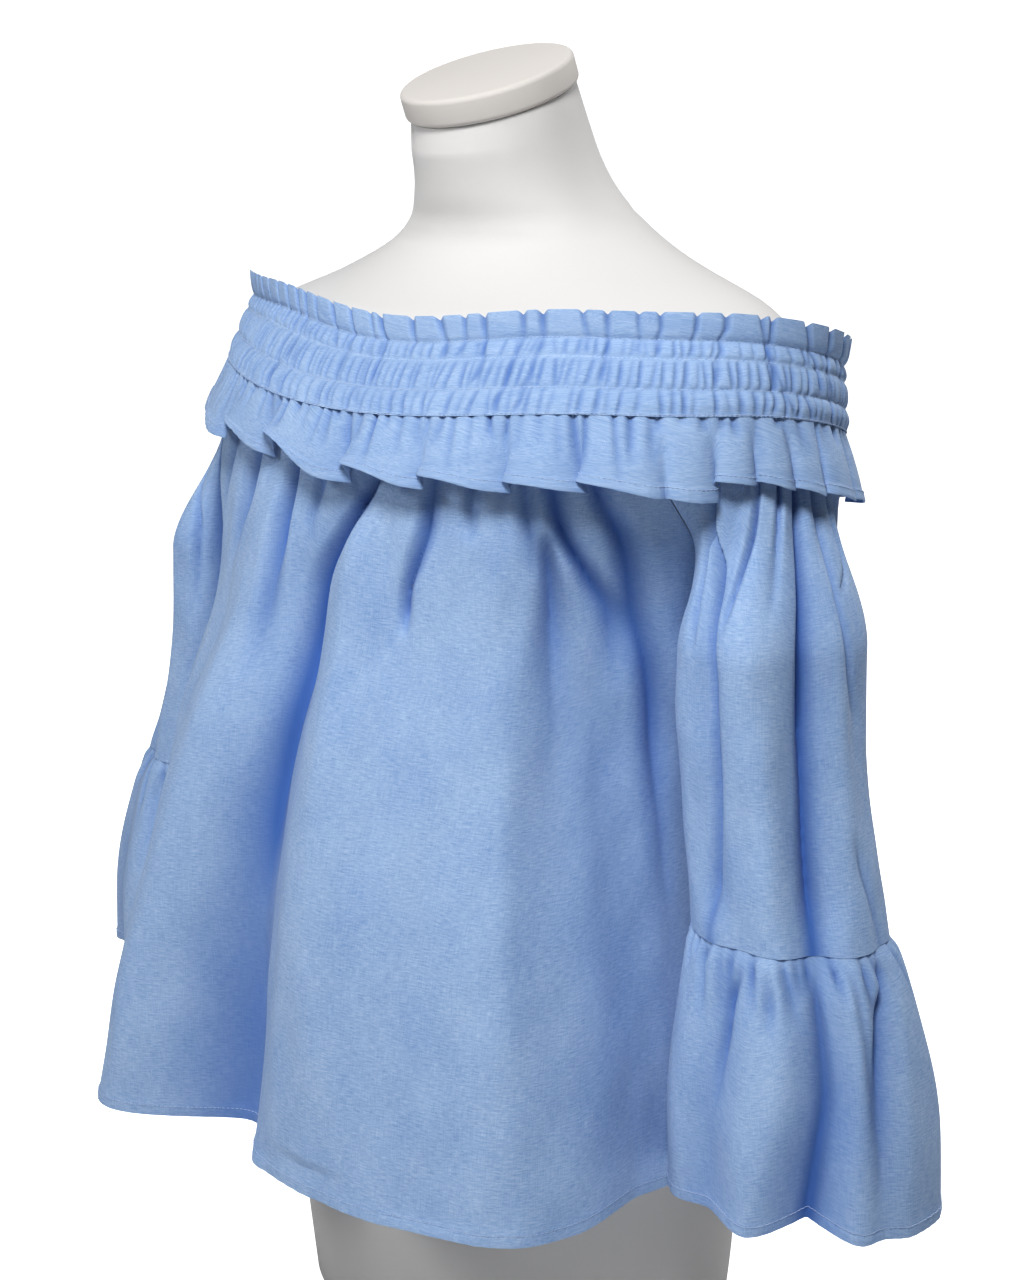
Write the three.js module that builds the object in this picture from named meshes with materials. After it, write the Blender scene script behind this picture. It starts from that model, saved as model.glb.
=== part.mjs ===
// Off-shoulder top of light woven cotton, worn on a headless and limbless dress form.
// Millimetres, +Z up. The form faces -Y, so the wearer's left side is at +X.
// The origin is the middle of the form's flat bottom, and the form stands on it.

import * as THREE from "three";

// Heights above the table
const BAND_TOP = 662;
const BAND_BOTTOM = 610;
const UNDERARM = 480;
const CUFF_SEAM = 327;
const CUFF_HEM = 180;
const BODY_HEM = 162;

// Cloth and its seams
const CLOTH = 1.3;
const SEAM_GAP = 0.3;
const SLEEVE_GAP = 0.5;
const BELOW_BAND = BAND_BOTTOM - SEAM_GAP;
const FLOUNCE_BELOW = 0.1;

// Neckband: gathers round it, its fall from the wearer's right to the left, and its frill
const BAND_GATHERS = 64;
const COLUMNS_A_GATHER = 3;
const BAND_SLOPE = -0.017;
const FRILL_LIFT = 1.6;

// How the top is worn at the band, against a level one: it is a little high over the shoulders'
// fronts, dips at the front, and hangs low behind. The fall begins on the wearer's left and ends
// on the right. Directions are in degrees from the wearer's left, the front negative.
const WORN_HIGH = 3;
const FRONT_DIP = 10.5;
const FRONT_DIP_AT = -86;
const FRONT_DIP_REACH = 45;
const BACK_FALL = 40;
const FALL_FROM = -20;
const FALL_OVER = 92;
const FALL_BACK_FROM = 164;
const FALL_BACK_OVER = 43;

// Before the right shoulder the band's foot is drawn in by a share of its distance
const DRAWN_IN = 0.075;
const DRAWN_AT = -142;
const DRAWN_REACH = 45;
const DRAWN_HEIGHT = 608;
const DRAWN_UP = 72;

// Lengths over which a fold starts and fades
const FOLD_START = 60;
const FOLD_FADE = 100;

// Where the sleeve seams start on the band, in degrees from its side, and where they meet
const RAGLAN_ANGLE = 36;
const UNDERARM_DEGREES = -7;

// How fast a sleeve's edge eases into its section, and how late the section closes round
const END_PULL = 5;
const LATE_CLOSING = 1.5;

// Columns of each piece
const FRONT_COLUMNS = 38;
const BACK_COLUMNS = 28;
const SLEEVE_COLUMNS = 28;
const FLOUNCE_COLUMNS = 192;
const CUFF_GATHERS = 26;
const FORM_COLUMNS = 32;

// Neck cap of the form: a round puck that slopes down to the front
const CAP_HALF_WIDTH = 56.5;
const CAP_HALF_DEPTH = 50.5;
const CAP_THICKNESS = 17;
const CAP_SLOPE = 21;
const CAP_MIDDLE_Y = -23;
const CAP_TOP = 792.5;

const chambray = { color: 0x86aee6, roughness: 0.86, metalness: 0 };
const jersey = { color: 0xece8e2, roughness: 0.8, metalness: 0 };

const group = new THREE.Group();
const turn = Math.PI * 2;
const radians = THREE.MathUtils.degToRad;
const degrees = THREE.MathUtils.radToDeg;
const clamp = THREE.MathUtils.clamp;
const mix = THREE.MathUtils.lerp;
const smooth = (x) => THREE.MathUtils.smoothstep(x, 0, 1);

// Soft bump that is 1 at its middle and 0 from a width away
const bump = (away, width) => 0.5 + 0.5 * Math.cos(Math.PI * Math.min(1, Math.abs(away) / width));

// Distance between two directions in degrees, the short way round
const between = (one, other) => ((((one - other + 180) % 360) + 360) % 360) - 180;

// A table's columns at a height, by straight steps between its rows from high to low
function atHeight(table, z) {
  const last = table.length - 1;
  if (z >= table[0].z) return table[0];
  if (z <= table[last].z) return table[last];
  const low = table.findIndex((row) => row.z <= z);
  const part = (table[low - 1].z - z) / (table[low - 1].z - table[low].z);
  const row = {};
  for (const key of Object.keys(table[low])) row[key] = mix(table[low - 1][key], table[low][key], part);
  return row;
}

// Depth of a table of folds in one direction and at one height.
// Each fold starts at one height and direction and fades towards another.
function foldDepth(folds, direction, z) {
  let depth = 0;
  for (const fold of folds) {
    const down = clamp((fold.from - z) / (fold.from - fold.to), 0, 1);
    const strength = smooth((fold.from - z) / FOLD_START) * smooth((z - fold.to) / FOLD_FADE);
    const middle = mix(fold.start, fold.end, down);
    depth += mix(fold.deep, fold.low, down) * strength * bump(between(direction, middle), fold.width);
  }
  return depth;
}

// Closed wall between rows of outer points and rows of inner points.
// Rows run from top to bottom, and columns anticlockwise as seen from above.
function wall(outer, inner, round) {
  const columns = outer[0].length;
  const spans = round ? columns : columns - 1;
  const outerEnd = outer.length - 1;
  const innerEnd = inner.length - 1;
  const points = [...outer.flat(), ...inner.flat()];
  const faces = [];
  const out = (row, column) => row * columns + (column % columns);
  const into = (row, column) => outer.length * columns + out(row, column);
  const quad = (a, b, c, d) => faces.push(a, b, c, a, c, d);
  for (let c = 0; c < spans; c += 1) {
    const d = c + 1;
    for (let r = 0; r < outerEnd; r += 1) quad(out(r, c), out(r + 1, c), out(r + 1, d), out(r, d));
    for (let r = 0; r < innerEnd; r += 1) quad(into(r, c), into(r, d), into(r + 1, d), into(r + 1, c));
    quad(out(0, c), out(0, d), into(0, d), into(0, c));
    quad(out(outerEnd, c), into(innerEnd, c), into(innerEnd, d), out(outerEnd, d));
  }
  for (let r = 0; r < outerEnd && !round; r += 1) {
    quad(out(r, 0), into(r, 0), into(r + 1, 0), out(r + 1, 0));
    quad(out(r, spans), out(r + 1, spans), into(r + 1, spans), into(r, spans));
  }
  return { points, faces };
}

// Wall of the cloth's thickness behind a grid of outer points
function clothWall(outer, round) {
  const columns = outer[0].length;
  const inner = outer.map((row) => row.map((point, c) => {
    const before = round ? row[(c + columns - 1) % columns] : row[Math.max(0, c - 1)];
    const after = round ? row[(c + 1) % columns] : row[Math.min(columns - 1, c + 1)];
    const along = new THREE.Vector3().subVectors(after, before);
    const outwards = new THREE.Vector3(along.y, -along.x, 0).normalize();
    return point.clone().addScaledVector(outwards, -CLOTH);
  }));
  return wall(outer, inner, round);
}

// The same grid on the wearer's other side
function otherSide(outer) {
  return outer.map((row) => row.map((point) => new THREE.Vector3(-point.x, point.y, point.z)).reverse());
}

function addSolid(name, solid, finish) {
  const places = solid.points.flatMap((point) => [point.x, point.y, point.z]);
  const geometry = new THREE.BufferGeometry();
  geometry.setAttribute("position", new THREE.Float32BufferAttribute(places, 3));
  geometry.setIndex(solid.faces);
  geometry.computeVertexNormals();
  const mesh = new THREE.Mesh(geometry, new THREE.MeshStandardMaterial(finish));
  mesh.name = name;
  group.add(mesh);
}

// How much higher than level the top is worn in a direction
function wornRise(direction) {
  const dip = FRONT_DIP * bump(between(direction, FRONT_DIP_AT), FRONT_DIP_REACH);
  const round = between(direction, 90) + 90;
  const begun = smooth((round - FALL_FROM) / FALL_OVER);
  const over = smooth((round - FALL_BACK_FROM) / FALL_BACK_OVER);
  return WORN_HIGH - dip - BACK_FALL * begun * (1 - over);
}

// Moves a point as the top is worn: all of it at the band and above, none from the underarm down
function hung(point, side = 1) {
  const share = smooth((point.z - UNDERARM) / (BAND_BOTTOM - UNDERARM));
  const across = side * point.x;
  const away = (point.y - bandFoot.y) / bandFoot.halfDepth;
  const direction = degrees(Math.atan2(away, across / bandFoot.halfWidth));
  const drawn = bump(between(direction, DRAWN_AT), DRAWN_REACH) * bump(point.z - DRAWN_HEIGHT, DRAWN_UP);
  point.z += share * (BAND_SLOPE * across + wornRise(direction));
  point.x *= 1 - DRAWN_IN * drawn;
  point.y *= 1 - DRAWN_IN * drawn;
  return point;
}

// Neckband: a gathered strip with a frill above three elastic channels.
// halfWidth, halfDepth and y give its plain inner wall, puff is how far the cloth stands
// off that wall on a gather, gather is how much lower it lies beside it, and dip is how far
// the row hangs lower at the front.
const bandRows = [
  { z: BAND_TOP, halfWidth: 229.5, halfDepth: 117.5, y: 13, puff: 3.0, gather: 1.9, dip: 2 },
  { z: 648, halfWidth: 228.0, halfDepth: 119.0, y: 10, puff: 1.6, gather: 0.5, dip: 1.6 },
  { z: 641, halfWidth: 230.0, halfDepth: 122.5, y: 7, puff: 3.0, gather: 1.7, dip: 1.2 },
  { z: 635, halfWidth: 231.5, halfDepth: 126.0, y: 4.5, puff: 1.6, gather: 0.5, dip: 1 },
  { z: 622, halfWidth: 234.5, halfDepth: 134.0, y: -1, puff: 1.9, gather: 0.8, dip: 0.6 },
  { z: BAND_BOTTOM, halfWidth: 236.5, halfDepth: 141.0, y: -5.5, puff: 3.1, gather: 0.2, dip: 0 },
];
const bandFoot = bandRows[bandRows.length - 1];

function ringPoint(angle, row, out, z) {
  const x = (row.halfWidth + out) * Math.cos(angle);
  const y = row.y + (row.halfDepth + out) * Math.sin(angle);
  const front = Math.max(0, -Math.sin(angle)) ** 2;
  return hung(new THREE.Vector3(x, y, z - row.dip * front));
}

function neckband() {
  const columns = BAND_GATHERS * COLUMNS_A_GATHER;
  const outer = bandRows.map((row) => Array.from({ length: columns }, (_, c) => {
    const uneven = 0.75 + 0.25 * Math.sin(c * 1.7 + row.z);
    const crest = c % COLUMNS_A_GATHER === 0 ? 1 : 0;
    const lift = row.z === BAND_TOP ? FRILL_LIFT * crest * uneven : 0;
    const out = row.puff - row.gather * (1 - crest) * uneven;
    return ringPoint((turn * c) / columns, row, out, row.z + lift);
  }));
  const inner = [bandRows[0], bandRows[1], bandFoot].map((row) => (
    Array.from({ length: columns }, (_, c) => ringPoint((turn * c) / columns, row, 0, row.z))
  ));
  return wall(outer, inner, true);
}

// Flounce under the band: waves stand out further towards the hem, and it hangs lower on the
// wearer's left by its lean.
// at is the direction of a wave's crest in degrees from the wearer's left side.
const flounceWaves = [
  { at: -170, out: 8, width: 11 },
  { at: -148, out: 10, width: 12 },
  { at: -127, out: 7, width: 10 },
  { at: -108, out: 10, width: 11 },
  { at: -82, out: 11, width: 12 },
  { at: -63, out: 6, width: 9 },
  { at: -46, out: 11, width: 10 },
  { at: -31, out: 9, width: 8 },
  { at: -17, out: 10, width: 8 },
  { at: -3, out: 8, width: 8 },
  { at: 13, out: 9, width: 9 },
  { at: 32, out: 8, width: 10 },
  { at: 51, out: 9, width: 10 },
  { at: 70, out: 7, width: 9 },
  { at: 88, out: 9, width: 10 },
  { at: 107, out: 8, width: 10 },
  { at: 127, out: 9, width: 11 },
  { at: 148, out: 7, width: 10 },
  { at: 168, out: 9, width: 10 },
];
const flounceRows = [
  { z: BELOW_BAND - FLOUNCE_BELOW, out: 2 * CLOTH + SEAM_GAP, wave: 0, lean: 0 },
  { z: 600, out: 5, wave: 0.35, lean: 1 },
  { z: 585, out: 8, wave: 0.8, lean: 4 },
  { z: 570, out: 10.5, wave: 1, lean: 7 },
];

function neckFlounce() {
  const outer = flounceRows.map((row) => Array.from({ length: FLOUNCE_COLUMNS }, (_, c) => {
    const angle = (turn * c) / FLOUNCE_COLUMNS;
    let out = row.out;
    for (const wave of flounceWaves) {
      out += row.wave * wave.out * bump(between(degrees(angle), wave.at), wave.width);
    }
    return ringPoint(angle, bandFoot, out, row.z - row.lean * Math.cos(angle));
  }));
  return clothWall(outer, true);
}

// The body below the band, as distances from the upright axis in eight directions
const bodyRows = [
  {
    z: 480, left: 188, backLeft: 162, back: 142, backRight: 162, right: 190,
    frontRight: 186, front: 164, frontLeft: 176,
  },
  {
    z: 410, left: 170, backLeft: 146, back: 144, backRight: 162, right: 182,
    frontRight: 208, front: 190, frontLeft: 192,
  },
  {
    z: 320, left: 172, backLeft: 165, back: 168, backRight: 182, right: 186,
    frontRight: 228, front: 210, frontLeft: 224,
  },
  {
    z: 240, left: 180, backLeft: 190, back: 192, backRight: 202, right: 182,
    frontRight: 246, front: 218, frontLeft: 246,
  },
  {
    z: 162, left: 188, backLeft: 212, back: 214, backRight: 217, right: 182,
    frontRight: 256, front: 224, frontLeft: 260,
  },
];
const compass = ["left", "backLeft", "back", "backRight", "right", "frontRight", "front", "frontLeft"];
const seamHeights = [BELOW_BAND, 594, 567, 538, 509, UNDERARM];
const panelHeights = [...seamHeights, 425, 362, 295, 228, BODY_HEM];

// Folds of the body. Directions are in degrees from the wearer's left side, the front negative.
// deep and low are how far a fold goes in at its two ends, or stands out where negative.
const bodyFolds = [
  { from: 610, to: 60, start: -89, end: -101, width: 16, deep: 10, low: 36 },
  { from: 560, to: 60, start: -106, end: -117, width: 14, deep: -4, low: -20 },
  { from: 560, to: 80, start: -76, end: -74, width: 10, deep: -6, low: -2 },
  { from: 610, to: 500, start: -132, end: -138, width: 8, deep: 6, low: 6 },
  { from: 610, to: 440, start: -110, end: -106, width: 7, deep: 6, low: 6 },
  { from: 610, to: 470, start: -58, end: -66, width: 8, deep: 6, low: 6 },
  { from: 610, to: 480, start: -35, end: -28, width: 7, deep: 5, low: 5 },
  { from: 560, to: 40, start: -46, end: -41, width: 14, deep: -4, low: -10 },
  { from: 560, to: 40, start: -29, end: -24, width: 11, deep: 5, low: 9 },
  { from: 480, to: 60, start: -160, end: -160, width: 18, deep: 2, low: 14 },
  { from: 610, to: 40, start: 96, end: 90, width: 14, deep: 9, low: 14 },
  { from: 610, to: 420, start: 66, end: 60, width: 9, deep: 6, low: 6 },
  { from: 610, to: 460, start: 122, end: 128, width: 9, deep: 6, low: 6 },
  { from: 540, to: 40, start: 48, end: 44, width: 13, deep: 7, low: 10 },
  { from: 540, to: 40, start: 138, end: 142, width: 13, deep: 7, low: 9 },
  { from: 520, to: 40, start: 70, end: 68, width: 12, deep: -4, low: -9 },
  { from: 520, to: 40, start: 116, end: 118, width: 12, deep: -5, low: -8 },
];

// Distance from the axis to the panels' top edge, on an ellipse set back from the axis
function seamRadius(angle) {
  const across = Math.cos(angle) / bandFoot.halfWidth;
  const deep = Math.sin(angle) / bandFoot.halfDepth;
  const back = bandFoot.y / bandFoot.halfDepth;
  const square = across ** 2 + deep ** 2;
  const half = deep * back;
  return (half + Math.sqrt(half ** 2 - square * (back ** 2 - 1))) / square + CLOTH;
}

function bodyRadius(angle, z) {
  const row = atHeight(bodyRows, z);
  const place = (angle / turn) * 8 + 16;
  const first = Math.floor(place);
  const t = place - first;
  const [a, b, c, d] = [-1, 0, 1, 2].map((step) => row[compass[(first + step) % 8]]);
  const curve = 2 * b + (c - a) * t + (2 * a - 5 * b + 4 * c - d) * t ** 2 + (3 * b - a - 3 * c + d) * t ** 3;
  const below = smooth((BELOW_BAND - z) / (BELOW_BAND - UNDERARM));
  return mix(seamRadius(angle), curve / 2, below);
}

function bodyPoint(angle, z, out) {
  const distance = bodyRadius(angle, z) + out;
  return hung(new THREE.Vector3(distance * Math.cos(angle), distance * Math.sin(angle), z));
}

// Direction of a sleeve seam at a height, and of the side seam below the underarm
function seamAngle(z, side, front) {
  const start = ringPoint(radians(front ? -RAGLAN_ANGLE : RAGLAN_ANGLE), bandFoot, 0, 0);
  const down = clamp((BELOW_BAND - z) / (BELOW_BAND - UNDERARM), 0, 1);
  const left = mix(Math.atan2(start.y, start.x), radians(UNDERARM_DEGREES), smooth(down));
  if (side > 0) return left;
  return front ? -Math.PI - left : Math.PI - left;
}

function bodyPanel(front, columns) {
  const outer = panelHeights.map((z) => {
    let from = seamAngle(z, front ? -1 : 1, front);
    let to = seamAngle(z, front ? 1 : -1, front);
    from += SLEEVE_GAP / 2 / bodyRadius(from, z);
    to -= SLEEVE_GAP / 2 / bodyRadius(to, z);
    return Array.from({ length: columns + 1 }, (_, c) => {
      const share = c / columns;
      const angle = mix(from, to, share);
      const free = smooth(Math.min(share, 1 - share) / 0.1);
      return bodyPoint(angle, z, -foldDepth(bodyFolds, degrees(angle), z) * free);
    });
  });
  return clothWall(outer, false);
}

// Sleeves as rings from the underarm down: middle, half width and half depth
const sleeveRows = [
  { z: UNDERARM, x: 237, y: -28, halfWidth: 48, halfDepth: 58 },
  { z: 440, x: 239, y: -30, halfWidth: 50, halfDepth: 55 },
  { z: 400, x: 245, y: -32, halfWidth: 52, halfDepth: 52 },
  { z: CUFF_SEAM, x: 262, y: -37, halfWidth: 57, halfDepth: 51 },
];
const sleeveHeights = [...seamHeights, 430, 378, CUFF_SEAM + SEAM_GAP];

// Folds of each sleeve, in directions round its own middle with the outside at 0
const leftSleeveFolds = [
  { from: 600, to: 0, start: -31, end: -31, width: 30, deep: 10, low: 10 },
  { from: 600, to: 0, start: -98, end: -98, width: 26, deep: 6, low: 6 },
  { from: 600, to: 380, start: 10, end: 10, width: 20, deep: 4, low: 4 },
  { from: 600, to: 0, start: 75, end: 75, width: 28, deep: 7, low: 7 },
  { from: 560, to: 0, start: 140, end: 140, width: 26, deep: 5, low: 5 },
];
const rightSleeveFolds = [
  { from: 600, to: 0, start: -52, end: -52, width: 28, deep: 8, low: 8 },
  { from: 600, to: 330, start: -8, end: -8, width: 20, deep: 4, low: 4 },
  { from: 600, to: 0, start: 48, end: 48, width: 30, deep: 8, low: 8 },
  { from: 580, to: 0, start: 112, end: 112, width: 26, deep: 6, low: 6 },
  { from: 560, to: 0, start: -125, end: -125, width: 24, deep: 5, low: 5 },
];

// One sleeve: open along the band, closed round below the underarm but for its seam.
// It is worked out as a left one, and the right one is turned over.
function sleeve(side, folds) {
  const outer = sleeveHeights.map((z) => {
    const closing = smooth(clamp((BELOW_BAND - z) / (BELOW_BAND - UNDERARM), 0, 1) ** LATE_CLOSING);
    const ring = atHeight(sleeveRows, z);
    const section = (t) => {
      const arc = ringPoint(radians(mix(-RAGLAN_ANGLE, RAGLAN_ANGLE, t)), bandFoot, CLOTH, 0);
      const direction = mix(-180, 180, t);
      const depth = foldDepth(folds, direction, z) * smooth(Math.min(t, 1 - t) / 0.12);
      const loopX = ring.x + ring.halfWidth * Math.cos(radians(direction));
      const loopY = ring.y + ring.halfDepth * Math.sin(radians(direction));
      const x = mix(arc.x, loopX, closing) - depth * Math.cos(radians(direction));
      const y = mix(arc.y, loopY, closing) - depth * Math.sin(radians(direction));
      return new THREE.Vector3(x, y, z);
    };
    const miss = [0, 1].map((t) => {
      const angle = seamAngle(z, side, t === 0);
      const apart = (t === 0 ? side : -side) * (SLEEVE_GAP / 2) * (1 - 2 * closing);
      const end = bodyPoint(angle + apart / bodyRadius(angle, z), z, 1.5 * SEAM_GAP * closing);
      return new THREE.Vector3(side * end.x, end.y, z).sub(section(t));
    });
    return Array.from({ length: SLEEVE_COLUMNS + 1 }, (_, c) => {
      const t = c / SLEEVE_COLUMNS;
      const point = section(t);
      if (z >= UNDERARM) {
        point.addScaledVector(miss[0], (1 - t) ** END_PULL).addScaledVector(miss[1], t ** END_PULL);
      } else if (c === 0) {
        point.y -= SEAM_GAP / 2;
      } else if (c === SLEEVE_COLUMNS) {
        point.y += SEAM_GAP / 2;
      }
      return hung(point, side);
    });
  });
  return clothWall(side > 0 ? outer : otherSide(outer), false);
}

// Cuff flounce: gathered at the seam and falling in wide waves. moves is how far a wave's
// direction goes round from the seam to the hem.
const cuffRows = [
  { z: CUFF_SEAM, x: 262, y: -37, halfWidth: 57, halfDepth: 51, gather: 1.2, wave: 0 },
  { z: 306, x: 266, y: -36, halfWidth: 62, halfDepth: 56, gather: 1.6, wave: 0.25 },
  { z: 236, x: 274, y: -35, halfWidth: 76, halfDepth: 72, gather: 0.4, wave: 0.8 },
  { z: CUFF_HEM, x: 277, y: -35, halfWidth: 77, halfDepth: 73, gather: 0, wave: 1 },
];
const leftCuffWaves = [
  { at: -36, moves: -17, deep: 17, width: 28 },
  { at: -83, moves: -19, deep: 8, width: 24 },
  { at: 13, moves: -28, deep: 8, width: 18 },
  { at: 42, moves: 0, deep: 8, width: 26 },
  { at: 100, moves: 0, deep: 10, width: 30 },
  { at: 160, moves: 0, deep: 7, width: 26 },
];
const rightCuffWaves = [
  { at: -60, moves: 0, deep: 10, width: 28 },
  { at: 0, moves: 0, deep: 8, width: 26 },
  { at: 60, moves: 0, deep: 12, width: 30 },
  { at: 125, moves: 0, deep: 9, width: 28 },
  { at: -130, moves: 0, deep: 8, width: 26 },
];

function cuffFlounce(side, waves) {
  const columns = CUFF_GATHERS * 2;
  const outer = cuffRows.map((row) => Array.from({ length: columns }, (_, c) => {
    const angle = (turn * c) / columns;
    let out = row.gather * (c % 2 === 0 ? 0.5 : -0.5);
    for (const wave of waves) {
      const middle = wave.at + wave.moves * row.wave;
      out -= row.wave * wave.deep * bump(between(degrees(angle), middle), wave.width);
    }
    const x = row.x + (row.halfWidth + out) * Math.cos(angle);
    const y = row.y + (row.halfDepth + out) * Math.sin(angle);
    return new THREE.Vector3(x, y, row.z);
  }));
  return clothWall(side > 0 ? outer : otherSide(outer), true);
}

// Dress form from its flat bottom to the neck: rings with their middle and their slope
const formRows = [
  { z: 0, halfWidth: 158, halfDepth: 110, y: 0, slope: 0 },
  { z: 70, halfWidth: 165, halfDepth: 117, y: 0, slope: 0 },
  { z: 150, halfWidth: 167, halfDepth: 119, y: 0, slope: 0 },
  { z: 230, halfWidth: 148, halfDepth: 107, y: 0, slope: 0 },
  { z: 290, halfWidth: 124, halfDepth: 93, y: -2, slope: 0 },
  { z: 340, halfWidth: 113, halfDepth: 84, y: -3, slope: 0 },
  { z: 400, halfWidth: 120, halfDepth: 91, y: -6, slope: 0 },
  { z: 460, halfWidth: 134, halfDepth: 104, y: -10, slope: 0 },
  { z: 520, halfWidth: 148, halfDepth: 114, y: -10, slope: 0 },
  { z: 560, halfWidth: 168, halfDepth: 118, y: -6, slope: 0 },
  { z: 590, halfWidth: 196, halfDepth: 121, y: 0, slope: 0 },
  { z: 612, halfWidth: 204, halfDepth: 122, y: 2, slope: 0 },
  { z: 632, halfWidth: 205, halfDepth: 115.1, y: 4.6, slope: 0 },
  { z: 644, halfWidth: 203, halfDepth: 110.1, y: 3.1, slope: 0 },
  { z: 652, halfWidth: 196, halfDepth: 105.2, y: 1.6, slope: 0 },
  { z: 661, halfWidth: 176, halfDepth: 97, y: 8, slope: 0 },
  { z: 673, halfWidth: 143, halfDepth: 84, y: 12, slope: 0 },
  { z: 690, halfWidth: 104, halfDepth: 69, y: 12, slope: 1 },
  { z: 706, halfWidth: 80, halfDepth: 61, y: 9, slope: 2 },
  { z: 722, halfWidth: 66.5, halfDepth: 57, y: 1.5, slope: 4 },
  { z: 738, halfWidth: 59.5, halfDepth: 53.5, y: -5, slope: 8 },
  { z: 755, halfWidth: 56, halfDepth: 51, y: -11, slope: 13 },
];

function neckRing(below, halfWidth, halfDepth) {
  const slope = radians(CAP_SLOPE);
  return Array.from({ length: FORM_COLUMNS }, (_, c) => {
    const angle = (turn * c) / FORM_COLUMNS;
    const up = halfDepth * Math.sin(angle);
    const y = CAP_MIDDLE_Y + up * Math.cos(slope) + below * Math.sin(slope);
    const z = CAP_TOP + up * Math.sin(slope) - below * Math.cos(slope);
    return new THREE.Vector3(halfWidth * Math.cos(angle), y, z);
  });
}

// Closed body through rings from high to low, with flat ends
function roundBody(rings) {
  const columns = rings[0].length;
  const points = rings.flat();
  const faces = [];
  const sum = (ring) => ring.reduce((total, point) => total.add(point), new THREE.Vector3());
  const middle = (ring) => sum(ring).divideScalar(columns);
  const top = points.push(middle(rings[0])) - 1;
  const bottom = points.push(middle(rings[rings.length - 1])) - 1;
  const lastRing = (rings.length - 1) * columns;
  for (let c = 0; c < columns; c += 1) {
    const next = (c + 1) % columns;
    faces.push(top, c, next, bottom, lastRing + next, lastRing + c);
    for (let r = 0; r < lastRing; r += columns) {
      faces.push(r + c, r + columns + c, r + columns + next, r + c, r + columns + next, r + next);
    }
  }
  return { points, faces };
}

function formTorso() {
  const rings = formRows.map((row) => Array.from({ length: FORM_COLUMNS }, (_, c) => {
    const angle = (turn * c) / FORM_COLUMNS;
    const back = row.halfDepth * Math.sin(angle);
    const rise = back * Math.tan(radians(row.slope));
    return new THREE.Vector3(row.halfWidth * Math.cos(angle), row.y + back, row.z + rise);
  }));
  rings.push(neckRing(CAP_THICKNESS + SEAM_GAP, CAP_HALF_WIDTH - 2.5, CAP_HALF_DEPTH - 2.5));
  return roundBody(rings.reverse());
}

function formNeckCap() {
  const edge = 2;
  return roundBody([
    neckRing(0, CAP_HALF_WIDTH - edge, CAP_HALF_DEPTH - edge),
    neckRing(edge, CAP_HALF_WIDTH, CAP_HALF_DEPTH),
    neckRing(CAP_THICKNESS - edge, CAP_HALF_WIDTH, CAP_HALF_DEPTH),
    neckRing(CAP_THICKNESS, CAP_HALF_WIDTH - edge, CAP_HALF_DEPTH - edge),
  ]);
}

addSolid("neckband", neckband(), chambray);
addSolid("neck_flounce", neckFlounce(), chambray);
addSolid("front_panel", bodyPanel(true, FRONT_COLUMNS), chambray);
addSolid("back_panel", bodyPanel(false, BACK_COLUMNS), chambray);
addSolid("sleeve_left", sleeve(1, leftSleeveFolds), chambray);
addSolid("sleeve_right", sleeve(-1, rightSleeveFolds), chambray);
addSolid("cuff_flounce_left", cuffFlounce(1, leftCuffWaves), chambray);
addSolid("cuff_flounce_right", cuffFlounce(-1, rightCuffWaves), chambray);
addSolid("form_torso", formTorso(), jersey);
addSolid("form_neck_cap", formNeckCap(), jersey);

export default group;
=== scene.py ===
import math

import bpy
import numpy as np
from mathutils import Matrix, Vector


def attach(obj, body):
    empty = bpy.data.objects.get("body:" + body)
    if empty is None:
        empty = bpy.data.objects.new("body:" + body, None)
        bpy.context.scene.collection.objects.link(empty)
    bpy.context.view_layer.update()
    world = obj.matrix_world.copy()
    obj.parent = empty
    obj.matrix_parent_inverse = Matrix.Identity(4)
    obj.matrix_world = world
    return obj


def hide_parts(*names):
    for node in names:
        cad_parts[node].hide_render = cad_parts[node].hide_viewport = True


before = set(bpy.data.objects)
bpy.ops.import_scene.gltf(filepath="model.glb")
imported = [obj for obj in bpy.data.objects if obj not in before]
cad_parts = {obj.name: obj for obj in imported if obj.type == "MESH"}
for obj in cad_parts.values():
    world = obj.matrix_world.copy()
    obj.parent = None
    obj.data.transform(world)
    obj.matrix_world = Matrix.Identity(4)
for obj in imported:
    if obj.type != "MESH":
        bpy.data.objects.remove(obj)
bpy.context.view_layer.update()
bpy.ops.object.select_all(action="DESELECT")
scene = bpy.context.scene

# Camera: it stands at the wearer's left front, a little above the band, and looks down at it.
# It is a plain 66 mm lens with no shift and no depth of field.
CAMERA_PLACE = (1.0555, -0.9973, 0.7624)
CAMERA_HEADING = 46.652
CAMERA_DOWN = 12.41
CAMERA_LENS = 66.1
bpy.ops.object.camera_add(
    location=CAMERA_PLACE,
    rotation=(math.radians(90 - CAMERA_DOWN), 0, math.radians(CAMERA_HEADING)),
)
camera = bpy.context.object
camera.name = "studio_camera"
camera.data.lens = CAMERA_LENS
camera.data.sensor_width = 36
camera.data.sensor_fit = "AUTO"
camera.data.clip_start = 0.05
camera.data.clip_end = 60
scene.camera = camera
scene.view_settings.view_transform = "Standard"
scene.view_settings.look = "Medium High Contrast"


def preset(node, values):
    for socket, value in values.items():
        node.inputs[socket].default_value = value


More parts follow.
